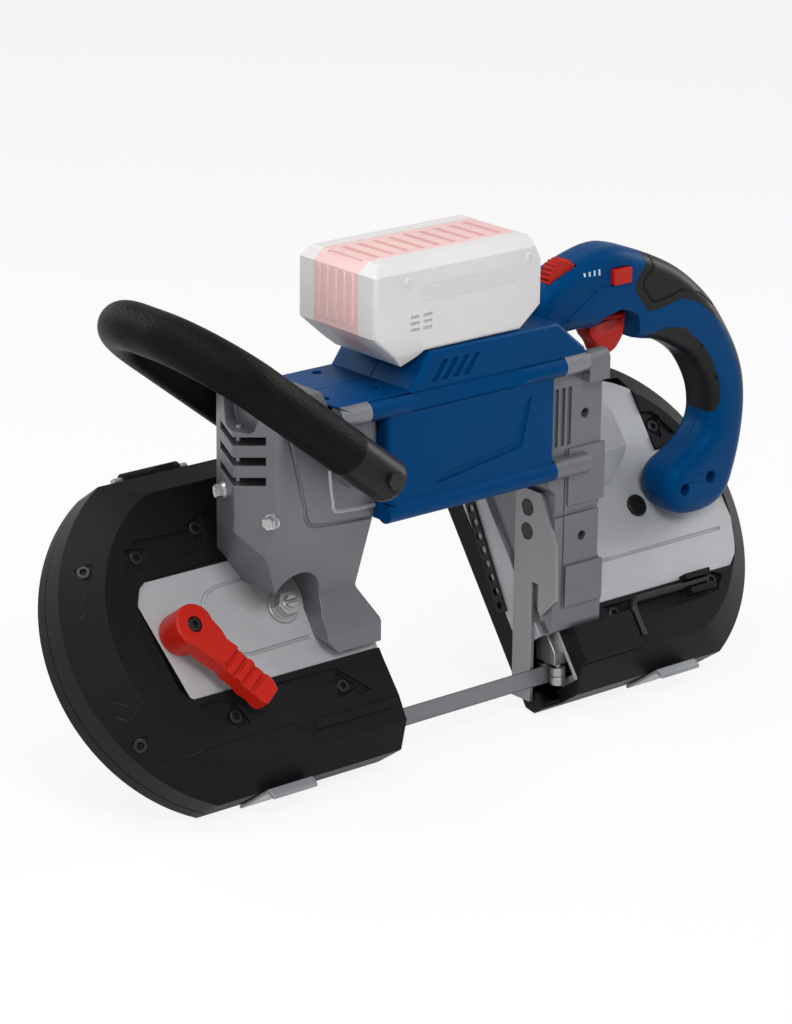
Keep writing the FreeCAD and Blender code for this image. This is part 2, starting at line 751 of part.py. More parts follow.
def hollow_cover(piece, side, end):
    """Opens the cover's front and lets the blade through its throat end."""
    wall = size.cover_wall
    piece.cut([housing(side, bumper_radius - wall, bumper_half - wall, end + side * wall)],
              "cover_back", lift="-cover_back + cover_wall")
    ends = sorted([end - side * size.overrun, end + side * (wall + size.overrun)])
    for run in (0, 2 * loop_radius):
        piece.cut([box(ends[0], ends[1], run - size.blade_notch, run + size.blade_notch)], "cover_back",
                  lift="-cover_back + cover_wall")
    step = size.knuckle_length + size.gap
    for place in (-step, step):
        knuckle(piece, side * axle_u - size.knuckle_length / 2 + place, COVER_LEG,
                size.hinge_pin_radius + size.running_fit)


left_cover = rear_cover("left_rear_cover", -1, throat_left)
strip_low = spine_inner + size.gap
strip_high = axle_v + bumper_half
left_cover.pad([box(throat_left, throat_right - size.gap, strip_low, strip_high)], "cover_back - frame_back - gap",
               lift="-cover_back")
left_cover.cut([box(throat_left - size.overrun, throat_right - size.gap + size.overrun, strip_low + size.cover_wall,
                    strip_high - size.cover_wall)], "cover_back", lift="-cover_back + cover_wall")
hollow_cover(left_cover, -1, throat_left)
left_cover.cut([wheel_slot], "cover_back", lift="-hinge_back")
right_cover = rear_cover("right_rear_cover", 1, throat_right)
hollow_cover(right_cover, 1, throat_right)

pins = Piece("cover_pins", WHEEL)
for side in (-1, 1):
    pins.pad([circle(hinge_v, hinge_w, size.hinge_pin_radius)], "4 * knuckle_length", plane="YZ",
             lift="%s - 2 * knuckle_length" % (side * axle_u))

# Latches: sprung clips that hook round the bumper's lower edge

latch_v = axle_v - bumper_half - size.gap
latch_front = size.bumper_front - size.bevel_rise + size.latch_tab
lip_front = latch_front + size.latch_lip / 2
LATCH = [(latch_v, -size.latch_pivot), (latch_v, latch_front),
         (latch_v - size.latch_lip, lip_front),
         (latch_v - size.latch_lip - size.latch_thickness, lip_front - size.latch_thickness / 2),
         (latch_v - size.latch_thickness, latch_front - size.latch_thickness),
         (latch_v - size.latch_thickness, -size.latch_pivot)]
for label, side in (("left_cover_latch", -1), ("right_cover_latch", 1)):
    latch = Piece(label, at_wheel(side * size.latch_place, 0))
    latch.pad([rounded(LATCH)], "latch_width", plane="YZ", side="Symmetric")
    latch.pad([circle(latch_v - size.latch_thickness / 2, -size.latch_pivot, size.latch_thickness / 2)], "latch_width",
              plane="YZ", side="Symmetric")

# Wheels, tyres and what they turn on


def wheel(label, place, bore):
    piece = Piece(label, place)
    rim_outer = wheel_radius - size.tyre_thickness
    rim_inner = rim_outer - size.rim_thickness
    flange_back = size.tyre_front + size.gap
    flange_front = flange_back + size.flange_thickness
    piece.turn([rounded([(bore, -size.rim_back), (size.hub_radius, -size.rim_back), (size.hub_radius, -size.web_back),
                         (rim_inner, -size.web_back), (rim_inner, -size.rim_back), (rim_outer, -size.rim_back),
                         (rim_outer, flange_back), (wheel_radius + size.flange_height, flange_back),
                         (wheel_radius + size.flange_height, flange_front), (rim_inner, flange_front),
                         (rim_inner, size.web_front), (size.hub_radius, size.web_front),
                         (size.hub_radius, size.hub_front), (bore, size.hub_front)])])
    holes = []
    for hole in range(int(size.web_hole_count)):
        angle = 2 * math.pi * hole / size.web_hole_count
        holes.append(circle(size.web_hole_circle * math.cos(angle), size.web_hole_circle * math.sin(angle),
                            size.web_hole_radius))
    piece.cut(holes)
    return piece


def ring(label, place, inner, outer, back, front):
    piece = Piece(label, place)
    piece.turn([box(inner, outer, back, front)])
    return piece


IDLER = at_wheel(-axle_u, axle_v)
DRIVE = at_wheel(axle_u, axle_v)
tyre_inner = wheel_radius - size.tyre_thickness
wheel("idler_wheel", IDLER, size.bearing_radius)
ring("idler_tyre", IDLER, tyre_inner, wheel_radius - size.gap, -size.tyre_back, size.tyre_front)
ring("idler_bearing", IDLER, size.axle_radius + size.running_fit, size.bearing_radius, -size.tyre_back, size.tyre_front)
block_back = size.plate_back - size.gap - size.block_thickness
idler_axle = Piece("idler_axle", IDLER)
idler_axle.turn([rounded([(0, -size.rim_back - size.axle_head_thickness - size.gap),
                          (size.axle_head, -size.rim_back - size.axle_head_thickness - size.gap),
                          (size.axle_head, -size.rim_back - size.gap), (size.axle_radius, -size.rim_back - size.gap),
                          (size.axle_radius, block_back), (0, block_back)])])
wheel("drive_wheel", DRIVE, size.drive_axle_radius)
ring("drive_tyre", DRIVE, tyre_inner, wheel_radius - size.gap, -size.tyre_back, size.tyre_front)
ring("drive_axle", DRIVE, 0, size.drive_axle_radius, -size.rim_back, size.plate_back + size.drive_bearing_depth - size.gap)
ring("drive_bearing", DRIVE, size.drive_axle_radius + size.running_fit, size.drive_bearing_radius, size.plate_back,
     size.plate_back + size.drive_bearing_depth)

# Blade tension: block, cam, lever and tracking nut

block = Piece("tension_block", WHEEL)
window_left = cam_u - size.cam_throw - size.cam_radius - size.cam_clearance
window_right = cam_u - size.cam_throw + size.cam_radius + size.cam_clearance
window_half = size.cam_radius + size.cam_throw + size.gap
block.pad([box(window_left - size.tension_rib, -axle_u + size.block_nose, axle_v - size.block_half,
               axle_v + size.block_half)], "block_thickness", lift="plate_back - gap - block_thickness")
block.cut([box(window_left, window_right, axle_v - window_half, axle_v + window_half)])
cam = Piece("tension_cam", at_wheel(cam_u, axle_v))
cam.pad([circle(-size.cam_throw, 0, size.cam_radius)], "block_thickness - gap", lift="plate_back - block_thickness - gap")
cam.pad([circle(0, 0, size.cam_shaft_radius)], "plate_front - plate_back + 3 * gap + lever_hub_height / 2",
        lift="plate_back - 2 * gap")
lever = Piece("tension_lever", at_wheel(cam_u, axle_v) * Placement(Vector(), Rotation(Vector(0, 0, 1), size.lever_angle)))
lever.pad([shaped(LEVER_SHARES, 0, size.lever_length, 0, size.lever_width)], "lever_thickness",
          lift="plate_front + lever_hub_height - lever_thickness")
lever.pad([circle(0, 0, size.lever_hub_radius)], "lever_hub_height - gap", lift="plate_front + gap")
lever_top = level("Z", size.plate_front + size.lever_hub_height)
lever.round("lever_rounding", lever_top)
lever.cut([circle(0, 0, size.cam_shaft_radius)], "lever_hub_height / 2", lift="plate_front + gap")
lever.cut([circle(0, 0, size.lever_screw_radius)], "lever_screw_depth + overrun",
          lift="plate_front + lever_hub_height - lever_screw_depth")
nut = Piece("tracking_nut", at_wheel(-axle_u + size.nut_place, axle_v))
nut.pad([circle(0, 0, size.nut_flange_radius)], "nut_flange_height", lift="plate_front")
hexagon = [(size.nut_flat_radius * math.cos(math.pi * corner / 3), size.nut_flat_radius * math.sin(math.pi * corner / 3))
           for corner in range(6)]
nut.pad([rounded(hexagon)], "nut_height + nut_flange_height", lift="plate_front")
nut.pad([circle(0, 0, size.stud_radius)], "stud_length + plate_front - plate_back", lift="plate_back")

# Gears and layshaft


def gear_outline(teeth):
    """A spur gear: four points a tooth, a little thinner and shorter than a full tooth for backlash."""
    pitch_radius = gear_module * teeth / 2
    root = pitch_radius - 1.2 * gear_module
    tip = pitch_radius + 0.8 * gear_module
    step = 2 * math.pi / teeth
    corners = []
    for tooth in range(int(teeth)):
        for radius, share in ((root, -0.32), (tip, -0.11), (tip, 0.11), (root, 0.32)):
            angle = (tooth + share) * step
            corners.append((radius * math.cos(angle), radius * math.sin(angle)))
    return rounded(corners)


def meshed(u, v, angle):
    return at_wheel(u, v) * Placement(Vector(), Rotation(Vector(0, 0, 1), math.degrees(angle)))


mesh_angle = math.atan2(motor_v - axle_v, layshaft_u - axle_u)
drive_gear = Piece("drive_gear", meshed(axle_u, axle_v, mesh_angle))
drive_gear.pad([gear_outline(size.drive_gear_teeth), circle(0, 0, size.drive_axle_radius)], "gear_thickness", lift="gear_back")
half_tooth = math.pi / size.pinion_teeth
layshaft = Piece("layshaft", meshed(layshaft_u, motor_v, mesh_angle + math.pi + half_tooth))
layshaft.pad([gear_outline(size.pinion_teeth)], "gear_thickness", lift="gear_back")
bevel_top = motor_w - size.bevel_pinion_radius - size.gap
layshaft.pad([circle(0, 0, size.layshaft_radius)], "%s - gear_back" % bevel_top, lift="gear_back")
bevel_low = bevel_top - size.bevel_gear_thickness
layshaft.turn([rounded([(0, bevel_low), (size.bevel_gear_radius / 2, bevel_low),
                        (size.bevel_gear_radius, bevel_top - size.bevel_gear_thickness / 2),
                        (size.bevel_gear_radius - size.bevel_pinion_radius / 2, bevel_top), (0, bevel_top)])])

# Motor: each piece turns about an axis along X, so it is drawn upright and laid over

LAID = Placement(Vector(0, size.mid_plane, motor_height), Rotation(Vector(0, 1, 0), 90))
ring("stator", LAID, size.stator_inner, size.stator_radius, size.stator_left, size.stator_left + size.stator_length)
rotor_left = size.stator_left + (size.stator_length - size.rotor_length) / 2
ring("rotor", LAID, size.motor_shaft_radius, size.rotor_radius, rotor_left, rotor_left + size.rotor_length)
shaft = Piece("motor_shaft", LAID)
pinion_right = layshaft_u - size.layshaft_radius - size.gap
pinion_left = pinion_right - size.bevel_pinion_length
shaft.turn([rounded([(0, size.motor_shaft_left), (size.motor_shaft_radius, size.motor_shaft_left),
                     (size.motor_shaft_radius, pinion_left), (size.bevel_pinion_radius, pinion_left),
                     (size.motor_shaft_radius / 2, pinion_right), (0, pinion_right)])])
fan = Piece("motor_fan", LAID)
fan.turn([box(size.motor_shaft_radius, size.fan_inner, size.fan_left, size.fan_left + size.fan_length)])
blades = []
for number in range(int(size.fan_blades)):
    turn = Rotation(Vector(0, 0, 1), 360 * number / size.fan_blades)
    corners = [turn.multVec(Vector(x, y, 0)) for x, y in (
        (size.fan_inner - size.fan_blade_thickness, -size.fan_blade_thickness / 2),
        (size.fan_radius, -size.fan_blade_thickness / 2), (size.fan_radius, size.fan_blade_thickness / 2),
        (size.fan_inner - size.fan_blade_thickness, size.fan_blade_thickness / 2))]
    blades.append(rounded([(corner.x, corner.y) for corner in corners]))
for loop in blades:
    fan.pad([loop], "fan_length", lift="fan_left")
bearings = Piece("motor_bearings", LAID)
bearing_right = size.right_column_left - size.housing_wall
for left in (size.housing_left + size.housing_wall, bearing_right - size.motor_bearing_length):
    bearings.turn([box(size.motor_shaft_radius + size.running_fit, size.motor_bearing_radius, left,
                       left + size.motor_bearing_length)])

# Blade: a closed band that the guides twist upright for the cut, with teeth along the cutting run


def band(u, turn):
    """The blade's section at one place of the lower run, turned from the wheel plane towards upright."""
    across = Vector(0, math.sin(turn), math.cos(turn)) * (size.blade_width / 2)
    through = Vector(0, math.cos(turn), -math.sin(turn)) * (size.blade_thickness / 2)
    middle = Vector(u, 0, 0)
    corners = [middle + across + through, middle + across - through, middle - across - through, middle - across + through]
    return Part.makePolygon(corners + corners[:1])


TWIST_STEPS = 6


def twisted(side):
    sections = []
    for step in range(TWIST_STEPS + 1):
        share = step / TWIST_STEPS
        eased = share * share * (3 - 2 * share)
        sections.append(band(side * (axle_u + (size.straight_run - axle_u) * share), tilt * eased))
    return Part.makeLoft(sections, True, True)


def toothed_run():
    count = int(2 * size.straight_run / size.tooth_pitch)
    pitch = 2 * size.straight_run / count
    corners = [(size.straight_run, size.blade_width), (-size.straight_run, size.blade_width), (-size.straight_run, 0)]
    for tooth in range(count):
        left = -size.straight_run + tooth * pitch
        corners.append((left + pitch * 0.3, size.tooth_depth))
        corners.append((left + pitch * 0.92, 0))
    corners[-1] = (size.straight_run, 0)
    points = [Vector(x, -size.blade_thickness / 2, z - blade_middle) for x, z in corners]
    face = Part.Face(Part.makePolygon(points + points[:1]))
    upright = face.extrude(Vector(0, size.blade_thickness, 0))
    upright.rotate(Vector(), Vector(1, 0, 0), -size.wheel_tilt)
    return upright


def rounded_end(side):
    outer = Part.makeCylinder(loop_radius + size.blade_thickness / 2, size.blade_width)
    inner = Part.makeCylinder(loop_radius - size.blade_thickness / 2, size.blade_width)
    half = Part.makeBox(2 * loop_radius, 4 * loop_radius, size.blade_width,
                        Vector(0 if side > 0 else -2 * loop_radius, -2 * loop_radius, 0))
    end = outer.cut(inner).common(half)
    end.translate(Vector(side * axle_u, axle_v, -size.blade_width / 2))
    return end


upper = Part.makeBox(2 * axle_u, size.blade_thickness, size.blade_width,
                     Vector(-axle_u, 2 * loop_radius - size.blade_thickness / 2, -size.blade_width / 2))
blade = doc.addObject("Part::Feature", "saw_blade")
blade.Label = "saw_blade"
blade.Shape = upper.multiFuse([rounded_end(-1), rounded_end(1), twisted(-1), twisted(1), toothed_run()]).removeSplitter()
blade.Placement = WHEEL
PIECES["saw_blade"] = blade

# Blade guides: a block behind each wheel plate, with two pins that carry stacked rollers


def plate_back_z(y):
    """The height at which the wheel plates' back face passes a place across the saw."""
    return blade_middle + (size.plate_back + y * math.sin(tilt)) / math.cos(tilt)


def guide(side, name):
    left = side * size.guide_place - size.guide_block_length / 2
    half = size.guide_block_half
    bracket = Piece(name + "_guide_bracket")
    bracket.pad([rounded([(-half, size.guide_block_low), (half, size.guide_block_low), (half, plate_back_z(half)),
                          (-half, plate_back_z(-half))])], "guide_block_length", plane="YZ", lift="%s" % left)
    for pin_y in (-roller_y, roller_y):
        bracket.pad([circle(side * size.guide_place, pin_y, size.roller_pin_radius)],
                    "guide_block_low + roller_pin_radius", lift="roller_low - roller_pin_radius / 2")
    for row, pin_y in (("front", -roller_y), ("back", roller_y)):
        rollers = Piece(name + "_" + row + "_rollers", Placement(Vector(side * size.guide_place, pin_y, 0), Rotation()))
        for level_index in range(2):
            low = size.roller_low + level_index * (size.roller_height + size.gap)
            rollers.turn([box(size.roller_pin_radius + size.running_fit, size.roller_radius, low, low + size.roller_height)])


guide(-1, "left")
guide(1, "right")

# Work stop

stop = Piece("stop_plate")
stop.pad([shaped(STOP_SHARES, size.stop_front, size.stop_depth, size.stop_low, size.stop_height)], "stop_thickness",
         plane="YZ", lift="stop_face")
stop_screws = Piece("stop_screws")
for row in range(2):
    head = circle(size.stop_screw_y, size.stop_screw_low + row * size.stop_screw_pitch, size.stop_screw_radius)
    stop.cut([head], plane="YZ")
    stop_screws.pad([head], "stop_thickness - gap", plane="YZ", lift="stop_face + gap")

# Left column: the cast tower between the left plate and the motor, with vents in its prow


def behind(profile):
    """The space behind a profile over the wheel plane, as an outline in Y from the mid plane and Z."""
    first, last = profile[0], profile[-1]
    ends = [(size.reach, last[1]), (size.reach, -size.reach), (-size.reach, -size.reach), (-size.reach, first[1])]
    corners = [world(0, v, w) for v, w in profile + ends]
    return rounded([(corner.y - size.mid_plane, corner.z) for corner in corners])


left_window_low = axle_v - size.window_low
right_window_low = left_window_low - size.window_corner
window_high = axle_v + size.window_high
shield_high = axle_v - size.rib_low + size.shield_low
shield_front = size.bumper_front + size.shield_rise
ON_LEFT_PLATE = [(left_window_low, size.bumper_front), (left_window_low, size.plate_front),
                 (window_high, size.plate_front), (window_high, size.bumper_front)]
ON_RIGHT_PLATE = [(shield_high, shield_front), (shield_high, size.bumper_front),
                  (right_window_low, size.bumper_front), (right_window_low, size.plate_front)]


left_column = Piece("left_column", MIDDLE)
left_column.pad([shaped(LEFT_COLUMN_SHARES, size.left_column_left, size.left_column_width, size.left_column_low,
                        size.left_column_height)], "2 * left_column_half", plane="XZ", side="Symmetric")
prow_left = size.left_column_left - size.overrun
prow_right = size.left_column_left + size.column_prow
for side in (-1, 1):
    edge = side * size.left_column_half
    left_column.cut([rounded([(prow_left, 0), (size.left_column_left, 0), (prow_right, edge),
                              (prow_right, edge + side * size.overrun), (prow_left, edge + side * size.overrun)])])
left_column.round("column_corner", along("Z", size.column_corner * 4))
for row in range(3):
    low = size.vent_low + row * size.vent_pitch
    left_column.cut([rounded([(-size.vent_half, low + size.vent_rise), (0, low), (size.vent_half, low + size.vent_rise),
                              (size.vent_half, low + size.vent_rise + size.vent_height), (0, low + size.vent_height),
                              (-size.vent_half, low + size.vent_rise + size.vent_height)])],
                    "vent_depth", plane="YZ", lift="left_column_left - overrun")
left_column.cut([box(-size.column_cavity_half, size.column_cavity_half, size.column_cavity_low,
                     size.column_cavity_low + size.column_cavity_height)], "column_cavity_depth", plane="YZ",
                lift="housing_left", reverse=True)
for side, back in ((-1, False), (1, True)):
    left_column.pad([circle(size.bail_x, size.bail_z, size.boss_radius)],
                    "bail_half - cap_radius - left_column_half + column_corner", plane="XZ",
                    lift="left_column_half - column_corner" if not back else "-(left_column_half - column_corner)",
                    reverse=back)
left_column.cut([behind(ON_LEFT_PLATE)], plane="YZ")
nut_spot = world(-axle_u + size.nut_place, axle_v, size.plate_front)
left_column.cut([circle(nut_spot.x, nut_spot.z + size.nut_arch_rise, size.nut_arch_radius)], "nut_arch_depth", plane="XZ",
                lift="left_column_half + overrun", reverse=True)

# Right column and gear housing

right_column = Piece("right_column", MIDDLE)
right_column.pad([shaped(RIGHT_COLUMN_SHARES, size.right_column_left, size.right_column_width, size.right_column_low,
                         size.right_column_height)], "right_column_front - right_column_back", plane="XZ",
                 lift="right_column_back")
lug_y = size.rail_inset - size.housing_half
for height, left, right in ((size.rail_upper, "housing_right_top", "rail_right"),
                            (size.rail_lower, "right_column_left", "rail_right - 2 * rail_radius")):
    right_column.pad([circle(lug_y, height, size.rail_radius)], "%s - %s" % (right, left), plane="YZ", lift=left)
right_column.pad([box(lug_y - size.rail_radius, lug_y + size.rail_radius, size.rail_upper - 2 * size.rail_radius,
                      size.rail_upper)], "rail_right - housing_right_top", plane="YZ", lift="housing_right_top")
for height in (size.column_hole_lower, size.column_hole_upper):
    right_column.cut([circle(size.column_hole_x, height, size.column_hole_radius)], "column_hole_depth", plane="XZ",
                     lift="right_column_front", reverse=True)
right_column.cut([box(throat_right - size.overrun, size.right_column_left + size.right_column_width, size.column_groove_low,
                      size.column_groove_low + size.column_groove)], "column_groove_depth", plane="XZ",
                 lift="right_column_front", reverse=True)
right_column.cut([behind(ON_RIGHT_PLATE)], plane="YZ")

gear_housing = Piece("gear_housing", MIDDLE)
gear_low = size.right_column_low + RIGHT_COLUMN_SHARES[-2][1] * size.right_column_height
gear_v = motor_v + size.gear_box_reach


def gear_profile(wall):
    """The gear housing's section: upright in front, and leaning with the layshaft behind."""
    back = size.gear_box_back - wall
    lean_v = gear_v - wall
    shoulder = (lean_v * math.cos(tilt) - back - size.mid_plane) / math.sin(tilt)
    low = world(0, lean_v, size.plate_front - size.overrun)
    high = world(0, lean_v, shoulder)
    front = wall - size.right_column_back
    return rounded([(front, size.left_column_low), (low.y - size.mid_plane, low.z), (back, high.z),
                    (back, size.gear_box_top - wall), (front, size.gear_box_top - wall)])


gear_housing.pad([gear_profile(0)], "gear_box_right - stop_face - stop_thickness", plane="YZ",
                 lift="stop_face + stop_thickness")
gear_housing.pad([box(-size.right_column_back, size.gear_box_back, gear_low, size.gear_box_top)],
                 "stop_face + stop_thickness - right_column_left", plane="YZ", lift="right_column_left")
gear_housing.cut([gear_profile(size.gear_box_wall)],
                 "gear_box_right - stop_face - stop_thickness - 2 * gear_box_wall", plane="YZ",
                 lift="stop_face + stop_thickness + gear_box_wall")
gear_housing.cut([circle(0, motor_height, size.shaft_hole_radius)],
                 "gear_box_right - right_column_left - gear_box_wall + overrun", plane="YZ",
                 lift="right_column_left - overrun")
gear_housing.cut([behind(ON_RIGHT_PLATE)], plane="YZ")

# Motor housing: two halves that meet on the mid plane, with rails along their outer faces

HOUSING = [(size.housing_left, size.housing_low), (size.right_column_left, size.housing_low),
           (size.right_column_left, size.deck_low), (size.housing_right_top, size.deck_low),
           (size.housing_right_top, size.neck_foot), (size.platform_right, size.platform_high),
           (size.platform_left, size.platform_high), (size.ramp_left, size.deck_high), (size.deck_left, size.deck_high),
           (size.deck_left, size.deck_low), (size.housing_left, size.deck_low)]


def motor_housing(label, back):
    piece = Piece(label, MIDDLE)
    way = -1 if back else 1
    piece.pad([rounded(HOUSING)], "housing_half", plane="XZ", reverse=back)
    piece.round("housing_corner", level("Y", -way * size.housing_half))
    rail_y = -way * (size.housing_half - size.rail_inset)
    for height, left, right in ((size.rail_upper, "deck_left", "right_column_left" if back else "housing_right_top"),
                                (size.rail_lower, "housing_left", "right_column_left")):
        piece.pad([circle(rail_y, height, size.rail_radius)], "%s - (%s)" % (right, left), plane="YZ", lift=left)
    piece.cut([circle(0, motor_height, size.motor_bore_radius)], "right_column_left - housing_left - 2 * housing_wall",
              plane="YZ", lift="housing_left + housing_wall")
    piece.cut([circle(0, motor_height, size.motor_bearing_radius)], "right_column_left - housing_left", plane="YZ",
              lift="housing_left + housing_wall")
    piece.cut([box(-size.module_half, size.module_half, size.module_low, size.module_low + size.module_height)],
              "module_length", plane="YZ", lift="module_left")
    return piece


motor_housing("motor_housing_front", False)
motor_housing("motor_housing_back", True)
module = Piece("controller_module", MIDDLE)
module.pad([box(-size.module_half, size.module_half, size.module_low, size.module_low + size.module_height)],
           "module_length", plane="YZ", lift="module_left")

# Rear handle: one grip shape, split on the mid plane, with soft pads let into its outer and inner faces


def handle_outline():
    """The grip, with its neck on the slope of the motor housing."""
    points = [(size.platform_right, size.platform_high)]
    for across, up, share in HANDLE_SHARES:
        points.append((size.handle_left + across * size.handle_width, size.handle_low + up * size.handle_height))
    points.append((size.housing_right_top, size.neck_foot))
    return rounded(soften(points, [0] + [share for across, up, share in HANDLE_SHARES] + [0]))


def handle_shape(label, back):
    """Half of the grip, rounded, seated on the right plate and open for the trigger, switch, dial and lock."""
    piece = Piece(label, MIDDLE)
    way = -1 if back else 1
    piece.pad([handle_outline()], "handle_half", plane="XZ", reverse=back)
    face = level("Y", -way * size.handle_half)
    piece.round("handle_rounding", face)
    piece.cut([behind(ON_RIGHT_PLATE)], plane="YZ")
    return piece


def pad_outline(shares):
    return shaped(shares, size.handle_left, size.handle_width, size.handle_low, size.handle_height)


def switch_space(piece):
    """Room for the switch, the trigger's travel and the lock-off button."""
    piece.cut([box(size.switch_left, size.switch_left + size.switch_length, size.switch_low,
                   size.switch_low + size.switch_height)], "2 * switch_half", plane="XZ", side="Symmetric")
    piece.cut([box(size.trigger_left - size.gap, size.trigger_left + size.trigger_length + size.gap,
                   size.trigger_top - size.trigger_drop,
                   size.trigger_top + size.trigger_travel + size.gap)],
              "2 * trigger_half + 2 * gap", plane="XZ", side="Symmetric")
    piece.cut([box(size.lock_place - size.lock_length / 2 - size.gap, size.lock_place + size.lock_length / 2 + size.gap,
                   lock_height - size.lock_thickness / 2 - size.gap,
                   lock_height + size.lock_thickness / 2 + size.gap)], plane="XZ")


def handle_half(label, back):
    piece = handle_shape(label, back)
    for shares in (OUTER_PAD_SHARES, INNER_PAD_SHARES):
        piece.cut([pad_outline(shares)], plane="XZ")
    switch_space(piece)
    return piece


handle_front = handle_half("rear_handle_front", False)
handle_front.cut([circle(size.dial_place, size.dial_height, size.dial_radius + size.gap)], "dial_width + 2 * gap",
                 plane="XZ", lift="dial_offset - dial_width / 2 - gap")
handle_half("rear_handle_back", True)


def soft_pad(label, shares):
    """The part of the whole grip that lies inside one pad's outline."""
    piece = Piece(label, MIDDLE)
    piece.pad([handle_outline()], "2 * handle_half", plane="XZ", side="Symmetric")
    faces = [level("Y", -size.handle_half), level("Y", size.handle_half)]
    piece.round("handle_rounding", lambda edge: any(face(edge) for face in faces))
    frame = box(size.handle_left - size.reach, size.handle_left + size.reach, size.handle_low - size.reach,
                size.handle_low + size.reach)
    piece.cut([frame, pad_outline(shares)], plane="XZ")
    return piece


soft_pad("rear_grip_pad", OUTER_PAD_SHARES)
soft_pad("inner_grip_pad", INNER_PAD_SHARES)

switch = Piece("switch_module", MIDDLE)
switch.pad([box(size.switch_left, size.switch_left + size.switch_length, size.switch_low + size.trigger_travel,
                size.switch_low + size.switch_height)], "2 * switch_half", plane="XZ", side="Symmetric")
trigger = Piece("trigger", MIDDLE)
trigger.pad([shaped(TRIGGER_SHARES, size.trigger_left, size.trigger_length, size.trigger_top - size.trigger_drop,
                    size.trigger_drop)], "2 * trigger_half", plane="XZ", side="Symmetric")
trigger.round("trigger_rounding", lambda edge: (level("Y", -size.trigger_half)(edge) or level("Y", size.trigger_half)(edge))
              and edge.BoundBox.ZMin < size.trigger_top - size.trigger_rounding)
lock = Piece("lock_off_button", MIDDLE)
lock.pad([box(size.lock_place - size.lock_length / 2, size.lock_place + size.lock_length / 2,
              lock_height - size.lock_thickness / 2, lock_height + size.lock_thickness / 2, size.lock_rounding)],
         "2 * handle_half + 2 * lock_proud", plane="XZ", side="Symmetric")
dial = Piece("speed_dial", MIDDLE * Placement(Vector(size.dial_place, 0, size.dial_height), Rotation()))
notches = []
for notch in range(int(size.dial_notch_count)):
    angle = 2 * math.pi * notch / size.dial_notch_count
    notches.append(circle(size.dial_radius * math.cos(angle), size.dial_radius * math.sin(angle), size.dial_notch))
dial.pad([circle(0, 0, size.dial_radius)], "dial_width", plane="XZ", lift="dial_offset - dial_width / 2")
dial.cut(notches, "dial_width", plane="XZ", lift="dial_offset - dial_width / 2")

# Front handle: a bail across the saw, with caps that bolt to the left column

BAIL = Placement(Vector(size.bail_x, size.mid_plane, size.bail_z), Rotation(Vector(0, -1, 0), 180 - size.bail_slope))
bail = Piece("front_handle", BAIL)
straight = size.bail_length - size.bail_bend
corner = size.bail_half - size.bail_bend
bend = size.bail_bend * math.sin(math.pi / 4)
path_loop = [Part.LineSegment(Vector(size.cap_length, -size.bail_half, 0), Vector(straight, -size.bail_half, 0)),
             Part.Arc(Vector(straight, -size.bail_half, 0), Vector(straight + bend, -corner - bend, 0),
                      Vector(size.bail_length, -corner, 0)),
             Part.LineSegment(Vector(size.bail_length, -corner, 0), Vector(size.bail_length, corner, 0)),
             Part.Arc(Vector(size.bail_length, corner, 0), Vector(straight + bend, corner + bend, 0),
                      Vector(straight, size.bail_half, 0)),
             Part.LineSegment(Vector(straight, size.bail_half, 0), Vector(size.cap_length, size.bail_half, 0))]
path = bail.sketch([path_loop], "XY", "")
section = bail.sketch([circle(-size.bail_half, 0, size.grip_radius)], "YZ", "cap_length")
doc.recompute()
pipe = bail.body.newObject("PartDesign::AdditivePipe", "front_handle_pipe")
pipe.Profile = section
pipe.Spine = (path, ["Edge%d" % (index + 1) for index in range(len(path_loop))])
caps = Piece("front_handle_caps", BAIL)
for side in (-1, 1):
    caps.pad([circle(side * size.bail_half, 0, size.cap_radius)], "cap_length + cap_nose", plane="YZ", lift="-cap_nose")
caps.round("cap_nose / 2", lambda edge: level("X", -size.cap_nose)(edge))
bolts = Piece("front_handle_bolts", MIDDLE)
hexagon = [(size.bail_x + size.bail_bolt_radius * math.cos(math.pi * corner / 3),
            size.bail_z + size.bail_bolt_radius * math.sin(math.pi * corner / 3)) for corner in range(6)]
for back in (False, True):
    lift = "bail_half + cap_radius" if not back else "-(bail_half + cap_radius)"
    bolts.pad([rounded(hexagon)], "bail_bolt_head", plane="XZ", lift=lift, reverse=back)

# Battery: case, ribbed band over its top and end, cells and release button

battery_outline = shaped(BATTERY_SHARES, size.battery_left, size.battery_width, size.battery_low, size.battery_height)
battery_top = size.battery_low + size.battery_height
band_left = size.battery_left + size.band_depth
band_low = battery_top - size.band_depth
frame = box(size.battery_left - size.reach, size.battery_left + size.reach, size.battery_low - size.reach,
            size.battery_low + size.reach)
band_core = box(band_left, size.battery_left + size.reach / 2, size.battery_low - size.reach / 2, band_low)
cell_right = size.cell_left + (size.cell_columns - 1) * size.cell_pitch
cavity = box(size.cell_left - size.cell_radius, cell_right + size.cell_radius,
             size.cell_low - size.cell_radius,
             size.cell_low + size.cell_pitch + size.cell_radius)
slant = Vector(BATTERY_SHARES[0][0] * size.battery_width, 0, -BATTERY_SHARES[-1][1] * size.battery_height).normalize()
inward = Vector(-slant.z, 0, slant.x)
slant_middle = Vector(size.battery_left + BATTERY_SHARES[0][0] * size.battery_width / 2, 0,
                      size.battery_low + BATTERY_SHARES[-1][1] * size.battery_height / 2)


def button_outline(length, depth, proud):
    corners = [slant_middle + slant * (x * length / 2) + inward * y for x, y in ((-1, -proud), (1, -proud), (1, depth), (-1, depth))]
    return rounded([(corner.x, corner.z) for corner in corners])


